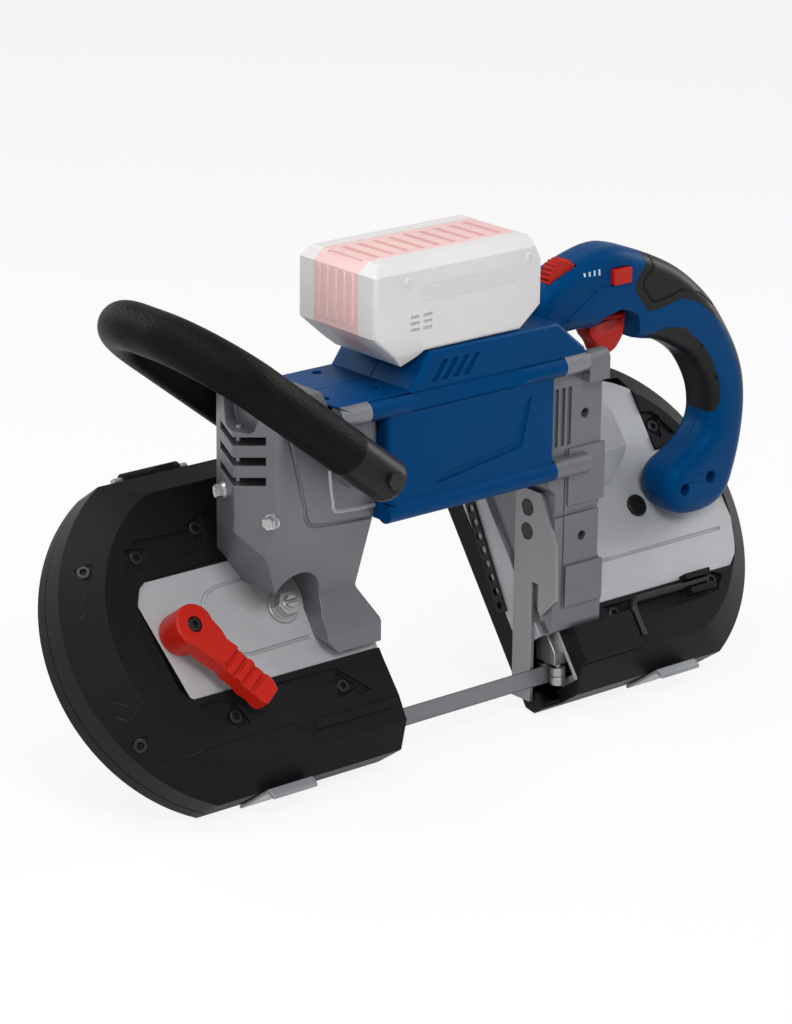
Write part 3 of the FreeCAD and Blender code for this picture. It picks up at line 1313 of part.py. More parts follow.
case = Piece("battery_case", MIDDLE)
case.pad([battery_outline], "2 * battery_half", plane="XZ", side="Symmetric")
case.round("battery_corner", lambda edge: level("Y", -size.battery_half)(edge) or level("Y", size.battery_half)(edge))
case.cut([frame, band_core], "2 * band_half", plane="XZ", side="Symmetric")
case.cut([cavity], "2 * cavity_half", plane="XZ", side="Symmetric")
case.cut([button_outline(size.button_length + 2 * size.gap, size.button_depth + size.button_travel, size.overrun)],
         "2 * button_half + 2 * gap", plane="XZ", side="Symmetric")
top = Piece("battery_band", MIDDLE)
top.pad([battery_outline], "2 * band_half", plane="XZ", side="Symmetric")
top.cut([band_core], plane="XZ")
ribs = []
rib_step = size.battery_width / size.band_rib_count
for rib in range(int(size.band_rib_count)):
    left = size.battery_left + rib_step / 2 + rib * rib_step
    ribs.append(box(left - size.band_rib / 2, left + size.band_rib / 2, battery_top - size.band_rib_depth,
                    battery_top + size.overrun))
top.cut(ribs, "2 * band_half - 2 * band_rib", plane="XZ", side="Symmetric")
cells_piece = Piece("battery_cells", MIDDLE)
for column in range(int(size.cell_columns)):
    for row in range(2):
        cells_piece.pad([circle(size.cell_left + column * size.cell_pitch, size.cell_low + row * size.cell_pitch,
                                size.cell_radius)], "cell_length", plane="XZ", side="Symmetric")
button = Piece("battery_button", MIDDLE)
button.pad([button_outline(size.button_length, size.button_depth, 0)], "2 * button_half", plane="XZ", side="Symmetric")

# Hex key, lying in its clip on the right bumper

key = Piece("hex_key", at_wheel(key_u, key_v))
key_path = [Part.LineSegment(Vector(0, -size.key_short, 0), Vector(0, -size.key_bend, 0)),
            Part.Arc(Vector(0, -size.key_bend, 0), Vector(size.key_bend * (1 - math.sin(math.pi / 4)),
                                                          -size.key_bend * (1 - math.sin(math.pi / 4)), 0),
                     Vector(size.key_bend, 0, 0)),
            Part.LineSegment(Vector(size.key_bend, 0, 0), Vector(size.key_long, 0, 0))]
path = key.sketch([key_path], "XY", "bumper_front + key_radius + gap")
hexagon = [(size.key_radius * math.cos(math.pi * corner / 3), size.bumper_front + size.key_radius + size.gap
            + size.key_radius * math.sin(math.pi * corner / 3)) for corner in range(6)]
section = key.sketch([rounded(hexagon)], "XZ", "key_short")
doc.recompute()
pipe = key.body.newObject("PartDesign::AdditivePipe", "hex_key_pipe")
pipe.Profile = section
pipe.Spine = (path, ["Edge1", "Edge2", "Edge3"])

doc.recompute()
for item in doc.Objects:
    if "Invalid" in item.State or "Error" in item.State:
        raise RuntimeError("failed: %s %s" % (item.Label, item.State))
for item in doc.Objects:
    if item.isDerivedFrom("PartDesign::Pocket"):
        solids = [other for other in item._Body.Group if not other.isDerivedFrom("Sketcher::SketchObject")]
        before = solids[solids.index(item) - 1]
        if item.Shape.Volume >= before.Shape.Volume:
            raise RuntimeError("cuts nothing: " + item.Label)
for label, item in PIECES.items():
    if item.Shape.isNull() or not item.Shape.isValid():
        raise RuntimeError("bad shape: " + label)
os.makedirs("parts", exist_ok=True)
for label, item in PIECES.items():
    item.Shape.exportStep("parts/%s.step" % label)
    print(label, len(item.Shape.Solids), round(item.Shape.Volume))
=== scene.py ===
# %% [markdown]
# # Dressing a portable band saw
# The saw arrives as a packed set of solids. This lesson adds what a moulder, a foundry and a finisher add:
# rounded edges, screws, vents, ribs and real surfaces. The solids are never moved, so the saw keeps its size.

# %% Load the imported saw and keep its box
import json
import math

import bmesh
import bpy
from mathutils import Matrix, Vector
from mathutils.bvhtree import BVHTree


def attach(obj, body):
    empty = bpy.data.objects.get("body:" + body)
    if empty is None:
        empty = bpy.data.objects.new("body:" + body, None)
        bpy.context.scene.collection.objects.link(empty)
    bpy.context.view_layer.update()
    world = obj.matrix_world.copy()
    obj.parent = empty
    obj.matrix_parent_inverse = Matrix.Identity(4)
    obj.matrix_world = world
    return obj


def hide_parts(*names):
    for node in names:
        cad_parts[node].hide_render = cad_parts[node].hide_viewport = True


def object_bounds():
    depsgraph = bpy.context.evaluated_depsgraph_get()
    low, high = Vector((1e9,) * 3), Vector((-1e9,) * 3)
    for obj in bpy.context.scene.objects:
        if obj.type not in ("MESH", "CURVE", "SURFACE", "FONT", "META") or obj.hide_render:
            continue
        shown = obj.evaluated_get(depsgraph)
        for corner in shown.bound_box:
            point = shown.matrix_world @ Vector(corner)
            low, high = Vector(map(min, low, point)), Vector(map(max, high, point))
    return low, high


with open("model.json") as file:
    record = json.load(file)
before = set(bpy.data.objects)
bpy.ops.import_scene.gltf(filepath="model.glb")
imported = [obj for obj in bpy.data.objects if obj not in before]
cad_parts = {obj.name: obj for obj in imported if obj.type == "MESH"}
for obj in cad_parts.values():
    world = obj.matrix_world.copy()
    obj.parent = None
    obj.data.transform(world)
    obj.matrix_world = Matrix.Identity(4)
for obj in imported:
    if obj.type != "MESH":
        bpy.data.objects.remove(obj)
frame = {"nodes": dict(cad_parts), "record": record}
cad_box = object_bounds()
bodies = frame["record"]["behaviour"]["bodies"]
body_of_node = {node: body for body, nodes in bodies.items() for node in nodes}
slot_of_node = {node: solid.data.materials[0].name for node, solid in frame["nodes"].items()}
scene = bpy.context.scene
scene.view_settings.view_transform = "Standard"
print("nodes", len(frame["nodes"]), "box", [tuple(round(x, 4) for x in corner) for corner in cad_box])

# %% [markdown]
# ## The photographer's place
# A long lens stands to the left and above the saw. Its place is worked out once, as three turned axes,
# because a tracking constraint could not keep the slight roll of the picture.

# %% Camera
TURN, FALL, ROLL = math.radians(40.15), math.radians(18.73), math.radians(-0.68)
LENS, FILM_WIDTH, STAND = 131.6, 36, (-1.44943, -1.65343, 0.87680)
ahead = Vector((math.sin(TURN) * math.cos(FALL), math.cos(TURN) * math.cos(FALL), -math.sin(FALL)))
right = Vector((math.cos(TURN), -math.sin(TURN), 0))
up = right.cross(ahead)
rolled_right = right * math.cos(ROLL) - up * math.sin(ROLL)
rolled_up = up * math.cos(ROLL) + right * math.sin(ROLL)
lens = bpy.data.cameras.new("photo_lens")
lens.lens, lens.sensor_width = LENS, FILM_WIDTH
lens.clip_start, lens.clip_end = 0.05, 50
camera = bpy.data.objects.new("photo_camera", lens)
scene.collection.objects.link(camera)
axes = Matrix((rolled_right, rolled_up, -ahead)).transposed()
camera.matrix_world = Matrix.Translation(STAND) @ axes.to_4x4()
scene.camera = camera
print("camera looks along", tuple(round(x, 3) for x in ahead))

# %% [markdown]
# ## A pale studio
# Product pictures of tools use one large soft lamp overhead, a key and a weaker fill in front, and rim lamps
# at the side and behind, on a white sweep. The floor and the world are pale to the camera and in reflections.
# The light that they give to the object is kept low, so that the lamps can draw its shapes.

# %% Lamps
LAMPS = (("overhead", (-0.5, 0.1, 1.45), 1.2, 0.9, 13), ("front_key", (-0.5, -1.5, 1.4), 0.9, 0.7, 23),
         ("front_fill", (-1.9, -0.5, 0.5), 0.7, 1.0, 9), ("right_rim", (1.5, -0.2, 0.5), 0.4, 1.0, 8),
         ("back_rim", (-0.6, 1.6, 0.8), 1.4, 0.4, 9))


def area_lamp(name, place, aim, width, height, watts):
    """A soft rectangular lamp that faces a point."""
    data = bpy.data.lights.new(name, "AREA")
    data.shape = "RECTANGLE"
    data.size, data.size_y, data.energy = width, height, watts
    lamp = bpy.data.objects.new(name, data)
    scene.collection.objects.link(lamp)
    lamp.location = place
    lamp.rotation_euler = (Vector(aim) - Vector(place)).to_track_quat("-Z", "Y").to_euler()


middle = (cad_box[0] + cad_box[1]) / 2
for name, offset, width, height, watts in LAMPS:
    area_lamp(name, middle + Vector(offset), middle, width, height, watts)
print("lamps", len(bpy.data.lights))

# %% Helpers for node trees


def put(tree, kind, **inputs):
    """A node with some of its inputs set."""
    made = tree.nodes.new("ShaderNode" + kind)
    for name, value in inputs.items():
        made.inputs[name.replace("_", " ")].default_value = value
    return made


def join(tree, source, output, target, entry):
    """One link, by socket name or number."""
    tree.links.new(source.outputs[output], target.inputs[entry])


def seen_directly(tree):
    """One for rays from the camera, from a reflection or through glass, and zero for the rest."""
    rays = put(tree, "LightPath")
    first = put(tree, "Math")
    first.operation = "MAXIMUM"
    join(tree, rays, "Is Camera Ray", first, 0)
    join(tree, rays, "Is Glossy Ray", first, 1)
    both = put(tree, "Math")
    both.operation = "MAXIMUM"
    join(tree, first, 0, both, 0)
    join(tree, rays, "Is Transmission Ray", both, 1)
    return both


print("node helpers ready")

# %% World
WORLD_LIGHT, WORLD_SEEN = 0.09, 0.6
world = bpy.data.worlds.new("studio")
scene.world = world
world.use_nodes = True
tree = world.node_tree
tree.nodes["Background"].inputs["Color"].default_value = (1, 1, 1, 1)
level = put(tree, "MapRange", To_Min=WORLD_LIGHT, To_Max=WORLD_SEEN)
join(tree, seen_directly(tree), 0, level, "Value")
join(tree, level, 0, tree.nodes["Background"], "Strength")
print("world", world.name)

# %% Floor
FLOOR_REACH, FLOOR_DROP, PAPER, FLOOR_GLOW = 12, 0.0005, (0.9, 0.9, 0.9, 1), 0.88
floor_mesh = bpy.data.meshes.new("floor")
shape = bmesh.new()
bmesh.ops.create_grid(shape, x_segments=1, y_segments=1, size=FLOOR_REACH)
bmesh.ops.translate(shape, verts=shape.verts, vec=(0, 0, cad_box[0].z - FLOOR_DROP))
shape.to_mesh(floor_mesh)
shape.free()
floor = bpy.data.objects.new("floor", floor_mesh)
scene.collection.objects.link(floor)
paper = bpy.data.materials.new("white_paper")
paper.use_nodes = True
tree = paper.node_tree
tree.nodes["Principled BSDF"].inputs["Base Color"].default_value = PAPER
tree.nodes["Principled BSDF"].inputs["Roughness"].default_value = 0.9
glow = put(tree, "Emission")
blend = put(tree, "MixShader")
share = put(tree, "MapRange", To_Min=0.0, To_Max=FLOOR_GLOW)
join(tree, seen_directly(tree), 0, share, "Value")
join(tree, share, 0, blend, "Fac")
join(tree, tree.nodes["Principled BSDF"], 0, blend, 1)
join(tree, glow, 0, blend, 2)
join(tree, blend, 0, tree.nodes["Material Output"], "Surface")
floor_mesh.materials.append(paper)
print("floor at", round(cad_box[0].z, 4))

# %% [markdown]
# ## Surfaces
# Every finish starts from the same small recipe: a colour that drifts a little, a roughness that drifts with
# it, and a grain in the bump. What differs is the size and the depth of the grain, and whether it is a cloud,
# as on a blasted casting, or cells, as on a moulded grip. A painted image could not follow edges at every
# size, so the grain is procedural and lives on Object coordinates.

# %% One recipe for a finish
CLOUDS_PER_METRE, CLOUD_LOW, CLOUD_HIGH, ROUGH_LOW, ROUGH_HIGH = 16.0, 0.3, 0.7, 0.82, 1.18


def surface(name, colour, roughness, metal=0.0, grain=0.0005, depth=0.1, drift=0.12, stretch=(1, 1, 1),
            shine=0.5, cells=False, tint=None):
    """A finish with drifting colour and roughness and a fine grain. Grain is its size in metres."""
    made = bpy.data.materials.new(name)
    made.use_nodes = True
    tree = made.node_tree
    shader = tree.nodes["Principled BSDF"]
    shader.inputs["Metallic"].default_value = metal
    shader.inputs["Specular IOR Level"].default_value = shine
    if tint:
        shader.inputs["Specular Tint"].default_value = tint + (1,)
    place = put(tree, "TexCoord")
    turned = put(tree, "Mapping", Scale=stretch)
    join(tree, place, "Object", turned, "Vector")
    cloud = put(tree, "TexNoise", Scale=CLOUDS_PER_METRE, Detail=5.0)
    join(tree, turned, "Vector", cloud, "Vector")
    fine = put(tree, "TexNoise", Scale=1 / grain, Detail=2.0)
    join(tree, turned, "Vector", fine, "Vector")
    tone = put(tree, "ValToRGB")
    dark, light = tone.color_ramp.elements
    dark.position, light.position = CLOUD_LOW, CLOUD_HIGH
    for element, step in ((dark, 1 - drift), (light, 1 + drift)):
        element.color = tuple(min(1, c * step) for c in colour) + (1,)
    join(tree, cloud, "Fac", tone, "Fac")
    speck = put(tree, "MixRGB", Fac=0.5 * drift)
    speck.blend_type = "OVERLAY"
    join(tree, tone, "Color", speck, "Color1")
    join(tree, fine, "Fac", speck, "Color2")
    join(tree, speck, "Color", shader, "Base Color")
    rough = put(tree, "MapRange", To_Min=roughness * ROUGH_LOW, To_Max=min(1, roughness * ROUGH_HIGH))
    join(tree, fine, "Fac", rough, "Value")
    join(tree, rough, "Result", shader, "Roughness")
    height, output = fine, "Fac"
    if cells:
        height, output = put(tree, "TexVoronoi", Scale=1 / grain), "Distance"
        join(tree, turned, "Vector", height, "Vector")
    bump = put(tree, "Bump", Strength=depth, Distance=grain)
    join(tree, height, output, bump, "Height")
    join(tree, bump, "Normal", shader, "Normal")
    return made


print("recipe ready")

# %% The finishes of this saw
finishes = {
    "housing": surface("moulded_blue", (0.0002, 0.043, 0.15), 0.4, grain=0.0005, depth=0.14, drift=0.06,
                       shine=0.14, tint=(0.06, 0.5, 1.0)),
    "bumper": surface("black_rubber", (0.007, 0.0072, 0.009), 0.46, grain=0.0007, depth=0.16, drift=0.16,
                      shine=0.09),
    "grip": surface("soft_grip", (0.004, 0.0041, 0.0045), 0.44, grain=0.0013, depth=0.3, drift=0.12,
                    shine=0.06, cells=True),
    "dark_plastic": surface("black_plastic", (0.008, 0.008, 0.009), 0.4, grain=0.0006, depth=0.1, drift=0.1,
                            shine=0.15),
    "casting": surface("blasted_plate", (0.4, 0.41, 0.425), 0.46, 0.35, grain=0.0006, depth=0.3, drift=0.07),
    "wheel": surface("turned_casting", (0.42, 0.43, 0.45), 0.36, 0.8, grain=0.0004, depth=0.1, drift=0.06),
    "steel": surface("ground_steel", (0.34, 0.345, 0.35), 0.36, 0.8, grain=0.0004, depth=0.12,
                     stretch=(1, 1, 0.1)),
    "blade": surface("rolled_strip", (0.2, 0.205, 0.22), 0.4, 0.7, grain=0.0004, depth=0.14,
                     stretch=(0.06, 1, 1)),
    "latch": surface("satin_grey", (0.27, 0.28, 0.295), 0.4, 0.5, grain=0.0005, depth=0.1, drift=0.08),
    "dark_fastener": surface("black_oxide", (0.014, 0.014, 0.015), 0.34, 0.3, grain=0.0004, depth=0.1,
                             shine=0.4),
    "tyre": surface("wheel_rubber", (0.02, 0.02, 0.022), 0.7, grain=0.0008, depth=0.2, shine=0.25),
    "control": surface("moulded_red", (0.44, 0.012, 0.005), 0.36, grain=0.0005, depth=0.1, drift=0.06,
                       shine=0.2),
    "copper": surface("wound_copper", (0.6, 0.28, 0.14), 0.35, 0.9, grain=0.0006, depth=0.2),
    "battery_shell": surface("pale_shell", (0.68, 0.665, 0.665), 0.5, grain=0.0005, depth=0.12, drift=0.05,
                             shine=0.3),
    "battery_accent": surface("pale_red", (0.76, 0.52, 0.5), 0.48, grain=0.0005, depth=0.1, drift=0.05,
                              shine=0.3),
}
lug_finish = surface("milled_lug", (0.22, 0.224, 0.236), 0.36, 0.5, grain=0.0005, depth=0.16, drift=0.06)
# The columns and the gear housing are the same casting as the wheel plates. This darker grey is painted shade
# for faces that turn away from the lamps.
shaded_casting_finish = surface("casting_with_painted_shade", (0.15, 0.155, 0.168), 0.4, 0.45, grain=0.0006, depth=0.26,
                        drift=0.08)
stop_finish = surface("brushed_stop", (0.24, 0.245, 0.25), 0.4, 0.7, grain=0.0005, depth=0.2,
                      stretch=(1, 1, 0.05))
bright_finish = surface("zinc_bolt", (0.44, 0.445, 0.45), 0.3, 0.85, grain=0.0004, depth=0.1)
scale_finish = surface("pale_scale", (0.5, 0.62, 0.72), 0.5, grain=0.0005, depth=0.1, drift=0.05)
smooth_grip = surface("smooth_grip", (0.009, 0.0092, 0.01), 0.38, grain=0.0006, depth=0.1, drift=0.12,
                      shine=0.16)
print("finishes", len(bpy.data.materials))

# %% [markdown]
# ## Frames on the saw's faces
# Details are easiest to place in the flat frame of the face that carries them, in millimetres, the way a
# drawing gives them. Each frame has x and y on the face and z out of it. The two wheel cases lean back by
# 55 degrees, so they have frames of their own.

# %% Face frames
MM = 0.001
LEAN = math.radians(55)


def on_face(across, upward, origin=(0, 0, 0)):
    """A frame whose x and y lie on a face and whose z points out of it. Its lengths are millimetres."""
    across, upward = Vector(across), Vector(upward)
    turned = Matrix((across, upward, across.cross(upward))).transposed().to_4x4()
    return Matrix.Translation(Vector(origin) * MM) @ turned @ Matrix.Scale(MM, 4)


BLADE_MIDDLE = (0, 0, 6.35)
UP_THE_WHEELS = (0, math.cos(LEAN), math.sin(LEAN))
FRONT = on_face((1, 0, 0), (0, 0, 1))
BACK = on_face((-1, 0, 0), (0, 0, 1))
TOP = on_face((1, 0, 0), (0, 1, 0))
LEFT = on_face((0, -1, 0), (0, 0, 1))
RIGHT = on_face((0, 1, 0), (0, 0, 1))
WHEELS = on_face((1, 0, 0), UP_THE_WHEELS, BLADE_MIDDLE)
WHEELS_BACK = on_face((-1, 0, 0), UP_THE_WHEELS, BLADE_MIDDLE)
print("wheel cases lean", round(math.degrees(LEAN)), "degrees")

# %% [markdown]
# ## Small shapes that cut or are added
# A vent, a pocket or a bare recess is a prism pushed into the surface. A seam is a thin round bar laid along
# the surface and then cut out of it. The bar finds the surface by casting rays at the solid, so that it
# follows every curve of the moulding. The same bar left standing makes a rib.

# %% Prisms and discs
ORDER = Vector((-0.577, 1.0, 0.233))


def prism(points, place, low, high, soft=0):
    """A closed prism over an outline of a face, with softened corners."""
    shape = bmesh.new()
    shape.faces.new([shape.verts.new((x, y, low)) for x, y in points])
    if soft:
        bmesh.ops.bevel(shape, geom=shape.verts[:], offset=soft, affect="VERTICES", segments=4, profile=0.5,
                        material=-1)
    grown = bmesh.ops.extrude_face_region(shape, geom=shape.faces[:])
    lifted = [item for item in grown["geom"] if isinstance(item, bmesh.types.BMVert)]
    bmesh.ops.translate(shape, verts=lifted, vec=(0, 0, high - low))
    bmesh.ops.recalc_face_normals(shape, faces=shape.faces[:])
    # An extrude lists its new parts in another order on each run. Sorted, they give every run the same cuts.
    shape.verts.sort(key=lambda vert: vert.co.dot(ORDER))
    shape.edges.sort(key=lambda edge: (edge.verts[0].co + edge.verts[1].co).dot(ORDER))
    shape.faces.sort(key=lambda face: face.calc_center_median().dot(ORDER))
    bmesh.ops.transform(shape, matrix=place, verts=shape.verts[:])
    return shape


def block(left, right, low, high, place, deep, near, soft=0):
    """A prism over a rectangle."""
    return prism([(left, low), (right, low), (right, high), (left, high)], place, deep, near, soft)


def disc(x, y, radius, place, low, high, steps=28):
    """A round prism."""
    shape = bmesh.new()
    bmesh.ops.create_cone(shape, cap_ends=True, segments=steps, radius1=radius, radius2=radius,
                          depth=high - low)
    bmesh.ops.translate(shape, verts=shape.verts[:], vec=(x, y, (low + high) / 2))
    bmesh.ops.transform(shape, matrix=place, verts=shape.verts[:])
    return shape


print("prisms ready")

# %% Bars that follow a surface
RAY_START = 400
trees = {}


def remember(node, mesh):
    """Keeps a surface for the rays that seat details on it."""
    trees[node] = BVHTree.FromPolygons([v.co for v in mesh.vertices], [p.vertices for p in mesh.polygons])


def seat(node, place, x, y):
    """The spot of a solid that lies under a point of a face's frame, and the way out of it."""
    if node not in trees:
        remember(node, frame["nodes"][node].data)
    inward = (place.to_3x3() @ Vector((0, 0, -1))).normalized()
    spot, way_out, _, _ = trees[node].ray_cast(place @ Vector((x, y, RAY_START)), inward)
    if spot is None:
        raise RuntimeError("nothing under %s at %s, %s" % (node, x, y))
    return spot, way_out


def from_curve(curve, weld):
    """The closed form that a curve's bevel gives, with its doubles merged."""
    carrier = bpy.data.objects.new("carrier", curve)
    mesh = bpy.data.meshes.new_from_object(carrier)
    shape = bmesh.new()
    shape.from_mesh(mesh)
    bmesh.ops.remove_doubles(shape, verts=shape.verts[:], dist=weld)
    bmesh.ops.recalc_face_normals(shape, faces=shape.faces[:])
    bpy.data.objects.remove(carrier)
    bpy.data.curves.remove(curve)
    bpy.data.meshes.remove(mesh)
    return shape


def bar(node, place, points, radius, sink=0.0, pace=2.5):
    """A closed round bar along a line on a solid, sunk into it by a share of its radius."""
    spots = []
    for start, end in zip(points, points[1:]):
        steps = max(1, round(math.dist(start, end) / pace))
        spots += [Vector(start).lerp(Vector(end), i / steps) for i in range(steps)]
    spots.append(Vector(points[-1]))
    curve = bpy.data.curves.new("bar", "CURVE")
    curve.dimensions = "3D"
    curve.bevel_depth, curve.bevel_resolution, curve.use_fill_caps = radius * MM, 1, True
    spline = curve.splines.new("POLY")
    spline.points.add(len(spots) - 1)
    for point, (x, y) in zip(spline.points, spots):
        spot, way_out = seat(node, place, x, y)
        point.co = (*(spot - way_out * sink * radius * MM), 1)
    return from_curve(curve, 1e-7)


print("bars ready")

# %% [markdown]
# ## Screw heads
# Two heads serve the whole saw: a cap screw with a six-sided socket, which sits in the rubber cases and the
# mouldings, and a flanged six-sided bolt for the casting. Insets make the rim and the socket from one cone.

# %% Screws


def facing(spot, way_out):
    """A frame that stands on a spot, in millimetres."""
    turned = way_out.to_track_quat("Z", "Y").to_matrix().to_4x4()
    return Matrix.Translation(spot) @ turned @ Matrix.Scale(MM, 4)


def socket_head(radius, height, place):
    """The head of a cap screw: a chamfered rim and a six-sided socket."""
    shape = bmesh.new()
    bmesh.ops.create_cone(shape, cap_ends=True, segments=36, radius1=radius, radius2=radius, depth=height)
    bmesh.ops.translate(shape, verts=shape.verts[:], vec=(0, 0, height / 2))
    top = max(shape.faces, key=lambda face: face.calc_center_median().z)
    bmesh.ops.inset_individual(shape, faces=[top], thickness=0.14 * radius, depth=0)
    bmesh.ops.translate(shape, verts=top.verts[:], vec=(0, 0, 0.1 * radius))
    bmesh.ops.inset_individual(shape, faces=[top], thickness=0.32 * radius, depth=0)
    for vert in top.verts:
        angle = math.atan2(vert.co.y, vert.co.x) % (math.pi / 3) - math.pi / 6
        scale = 0.5 * radius / math.cos(angle) / vert.co.xy.length
        vert.co.x, vert.co.y = vert.co.x * scale, vert.co.y * scale
    bmesh.ops.inset_individual(shape, faces=[top], thickness=0.01 * radius, depth=0)
    bmesh.ops.translate(shape, verts=top.verts[:], vec=(0, 0, -0.8 * height))
    bmesh.ops.transform(shape, matrix=place, verts=shape.verts[:])
    return shape


def flange_head(radius, place):
    """A six-sided bolt head on a round flange, with a dished top."""
    shape = bmesh.new()
    bmesh.ops.create_cone(shape, cap_ends=True, segments=36, radius1=radius, radius2=0.9 * radius,
                          depth=0.3 * radius)
    bmesh.ops.translate(shape, verts=shape.verts[:], vec=(0, 0, 0.15 * radius))
    head = bmesh.ops.create_cone(shape, cap_ends=True, segments=6, radius1=0.8 * radius,
                                 radius2=0.78 * radius, depth=0.75 * radius)
    bmesh.ops.translate(shape, verts=head["verts"], vec=(0, 0, 0.65 * radius))
    top = max(shape.faces, key=lambda face: face.calc_center_median().z)
    bmesh.ops.inset_individual(shape, faces=[top], thickness=0.26 * radius, depth=0)
    bmesh.ops.translate(shape, verts=top.verts[:], vec=(0, 0, -0.25 * radius))
    bmesh.ops.transform(shape, matrix=place, verts=shape.verts[:])
    return shape


print("screw heads ready")

# %% [markdown]
# ## Rounding what the moulds and the foundry round
# No real casting or moulding has a razor edge: a radius of half a millimetre catches a thin line of light. A
# copy of each solid is welded, its vents and seams are cut, and a narrow bevel runs round the sharp edges
# only. A shader bevel would be quicker to write, but it would change only the shading, not the mesh.

# %% Gather and cut


def gathered(name, shapes):
    """One mesh from several small shapes."""
    whole = bmesh.new()
    for shape in shapes:
        part = bpy.data.meshes.new("part")
        shape.to_mesh(part)
        shape.free()
        whole.from_mesh(part)
        bpy.data.meshes.remove(part)
    mesh = bpy.data.meshes.new(name)
    whole.to_mesh(mesh)
    whole.free()
    return mesh


def cut_out(piece, cutters, operation="DIFFERENCE"):
    """Takes the cutters out of a piece for good, one by one, or keeps only what lies inside them."""
    for cutter in cutters:
        tool = bpy.data.objects.new("cutter", gathered("cutter", [cutter]))
        scene.collection.objects.link(tool)
        cut = piece.modifiers.new("cut", "BOOLEAN")
        cut.operation, cut.solver, cut.object = operation, "EXACT", tool
        before = piece.data
        evaluated = piece.evaluated_get(bpy.context.evaluated_depsgraph_get())
        piece.data = bpy.data.meshes.new_from_object(evaluated)
        piece.data.name = piece.name
        piece.modifiers.clear()
        bpy.data.meshes.remove(before)
        bpy.data.meshes.remove(tool.data)
    shape = bmesh.new()
    shape.from_mesh(piece.data)
    open_edges = sum(len(edge.link_faces) != 2 for edge in shape.edges)
    shape.free()
    print(piece.name, "faces", len(piece.data.polygons), "open edges", open_edges)


print("ready to cut")

SHARP, FLAT, WELD = math.radians(32), math.radians(1), 2e-6
dressed = set()


def finish_edges(piece, width):
    """Smooth shading that breaks at sharp edges, and a narrow bevel along them."""
    shape = bmesh.new()
    shape.from_mesh(piece.data)
    for face in shape.faces:
        face.smooth = True
        face.material_index = 0
    for edge in shape.edges:
        edge.smooth = len(edge.link_faces) == 2 and edge.calc_face_angle(0) < SHARP
    shape.to_mesh(piece.data)
    shape.free()
    if width:
        rounded = piece.modifiers.new("round_edge", "BEVEL")
        rounded.width, rounded.segments = width, 2
        rounded.limit_method, rounded.angle_limit = "ANGLE", SHARP
        rounded.use_clamp_overlap = False
        rounded.harden_normals = True
        rounded.loop_slide = False
        rounded.miter_outer = "MITER_SHARP"


def stand_in(piece, node, finish):
    """Gives a piece its one finish, puts it on the node's body and hides the node that it stands for."""
    piece.data.materials.clear()
    piece.data.materials.append(finish)
    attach(piece, body_of_node[node])
    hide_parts(node)
    dressed.add(node)


def dress(node, finish=None, width=0.0006, cutters=(), seams=(), flatten=True):
    """A cut and bevelled copy of a solid that stands for it, with the finish of its slot."""
    mesh = frame["nodes"][node].data.copy()
    shape = bmesh.new()
    shape.from_mesh(mesh)
    bmesh.ops.remove_doubles(shape, verts=shape.verts[:], dist=WELD)
    shape.to_mesh(mesh)
    shape.free()
    piece = bpy.data.objects.new(node + "_dressed", mesh)
    scene.collection.objects.link(piece)
    if cutters:
        cut_out(piece, cutters)
        remember(node, piece.data)
    if seams:
        cut_out(piece, [bar(node, *seam) for seam in seams])
    if flatten:
        shape = bmesh.new()
        shape.from_mesh(piece.data)
        bmesh.ops.dissolve_limit(shape, angle_limit=FLAT, verts=shape.verts[:], edges=shape.edges[:])
        shape.to_mesh(piece.data)
        shape.free()
    finish_edges(piece, width)
    stand_in(piece, node, finish or finishes[slot_of_node[node]])


def add(name, shapes, body, slot, finish=None, width=0.0):
    """A new piece from small shapes, riding on a body."""
    piece = bpy.data.objects.new(name, gathered(name, shapes))
    scene.collection.objects.link(piece)
    finish_edges(piece, width)
    piece.data.materials.append(finish or finishes[slot])
    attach(piece, body)
    print(name, "faces", len(piece.data.polygons))
    return piece


def screws(name, node, place, spots, radius, height, sink=0.0):
    """Cap screws standing on a solid of the frame, or sunk into it."""
    heads = []
    for x, y in spots:
        spot, way_out = seat(node, place, x, y)
        heads.append(socket_head(radius, height, facing(spot - way_out * sink * MM, way_out)))
    add(name, heads, "frame", "dark_fastener")


print("ready to dress", len(frame["nodes"]), "solids")

# %% [markdown]
# ## The motor housing
# The blue housing is two mouldings. A bent crease runs round a corner of the front panel, slanted louvres let
# air out above the deck, and the mouldings are held by screws in deep holes. All of these are cut into the
# surface, because paint would not catch the light as a crease does.

# %% Front half
FRONT_FACE, BACK_FACE, DECK, OUTSIDE = 20, 57, 226, 2
PANEL, CREASE = [(37, 205), (29.7, 173.5), (-39.2, 163.5), (-31.3, 169.5), (23.8, 177), (31.3, 201.6)], 1.6
LOUVRE_X, LOUVRE_WIDTH, LOUVRE_SLANT, LOUVRE_LOW, LOUVRE_HIGH = (-45, -36.5, -28, -19.5), 4.6, 9, 229, 241
VENT_DEPTH, HOLE, HOLE_DEPTH = 2.2, 3.0, 6
FRONT_HOLES, BACK_HOLES = ((-71.6, 1), (-110, 1)), ((-80, 46), (-110, 46))
RAIL_GAP, RAIL_GAP_LOW, RAIL_GAP_HIGH = [(-61, -20), (-61, -26), (34, -26), (22, -20)], 211, 225.8


def deck_holes(spots):
    """Deep screw holes in the deck."""
    return [disc(x, y, HOLE, TOP, DECK - HOLE_DEPTH, DECK + 3) for x, y in spots]


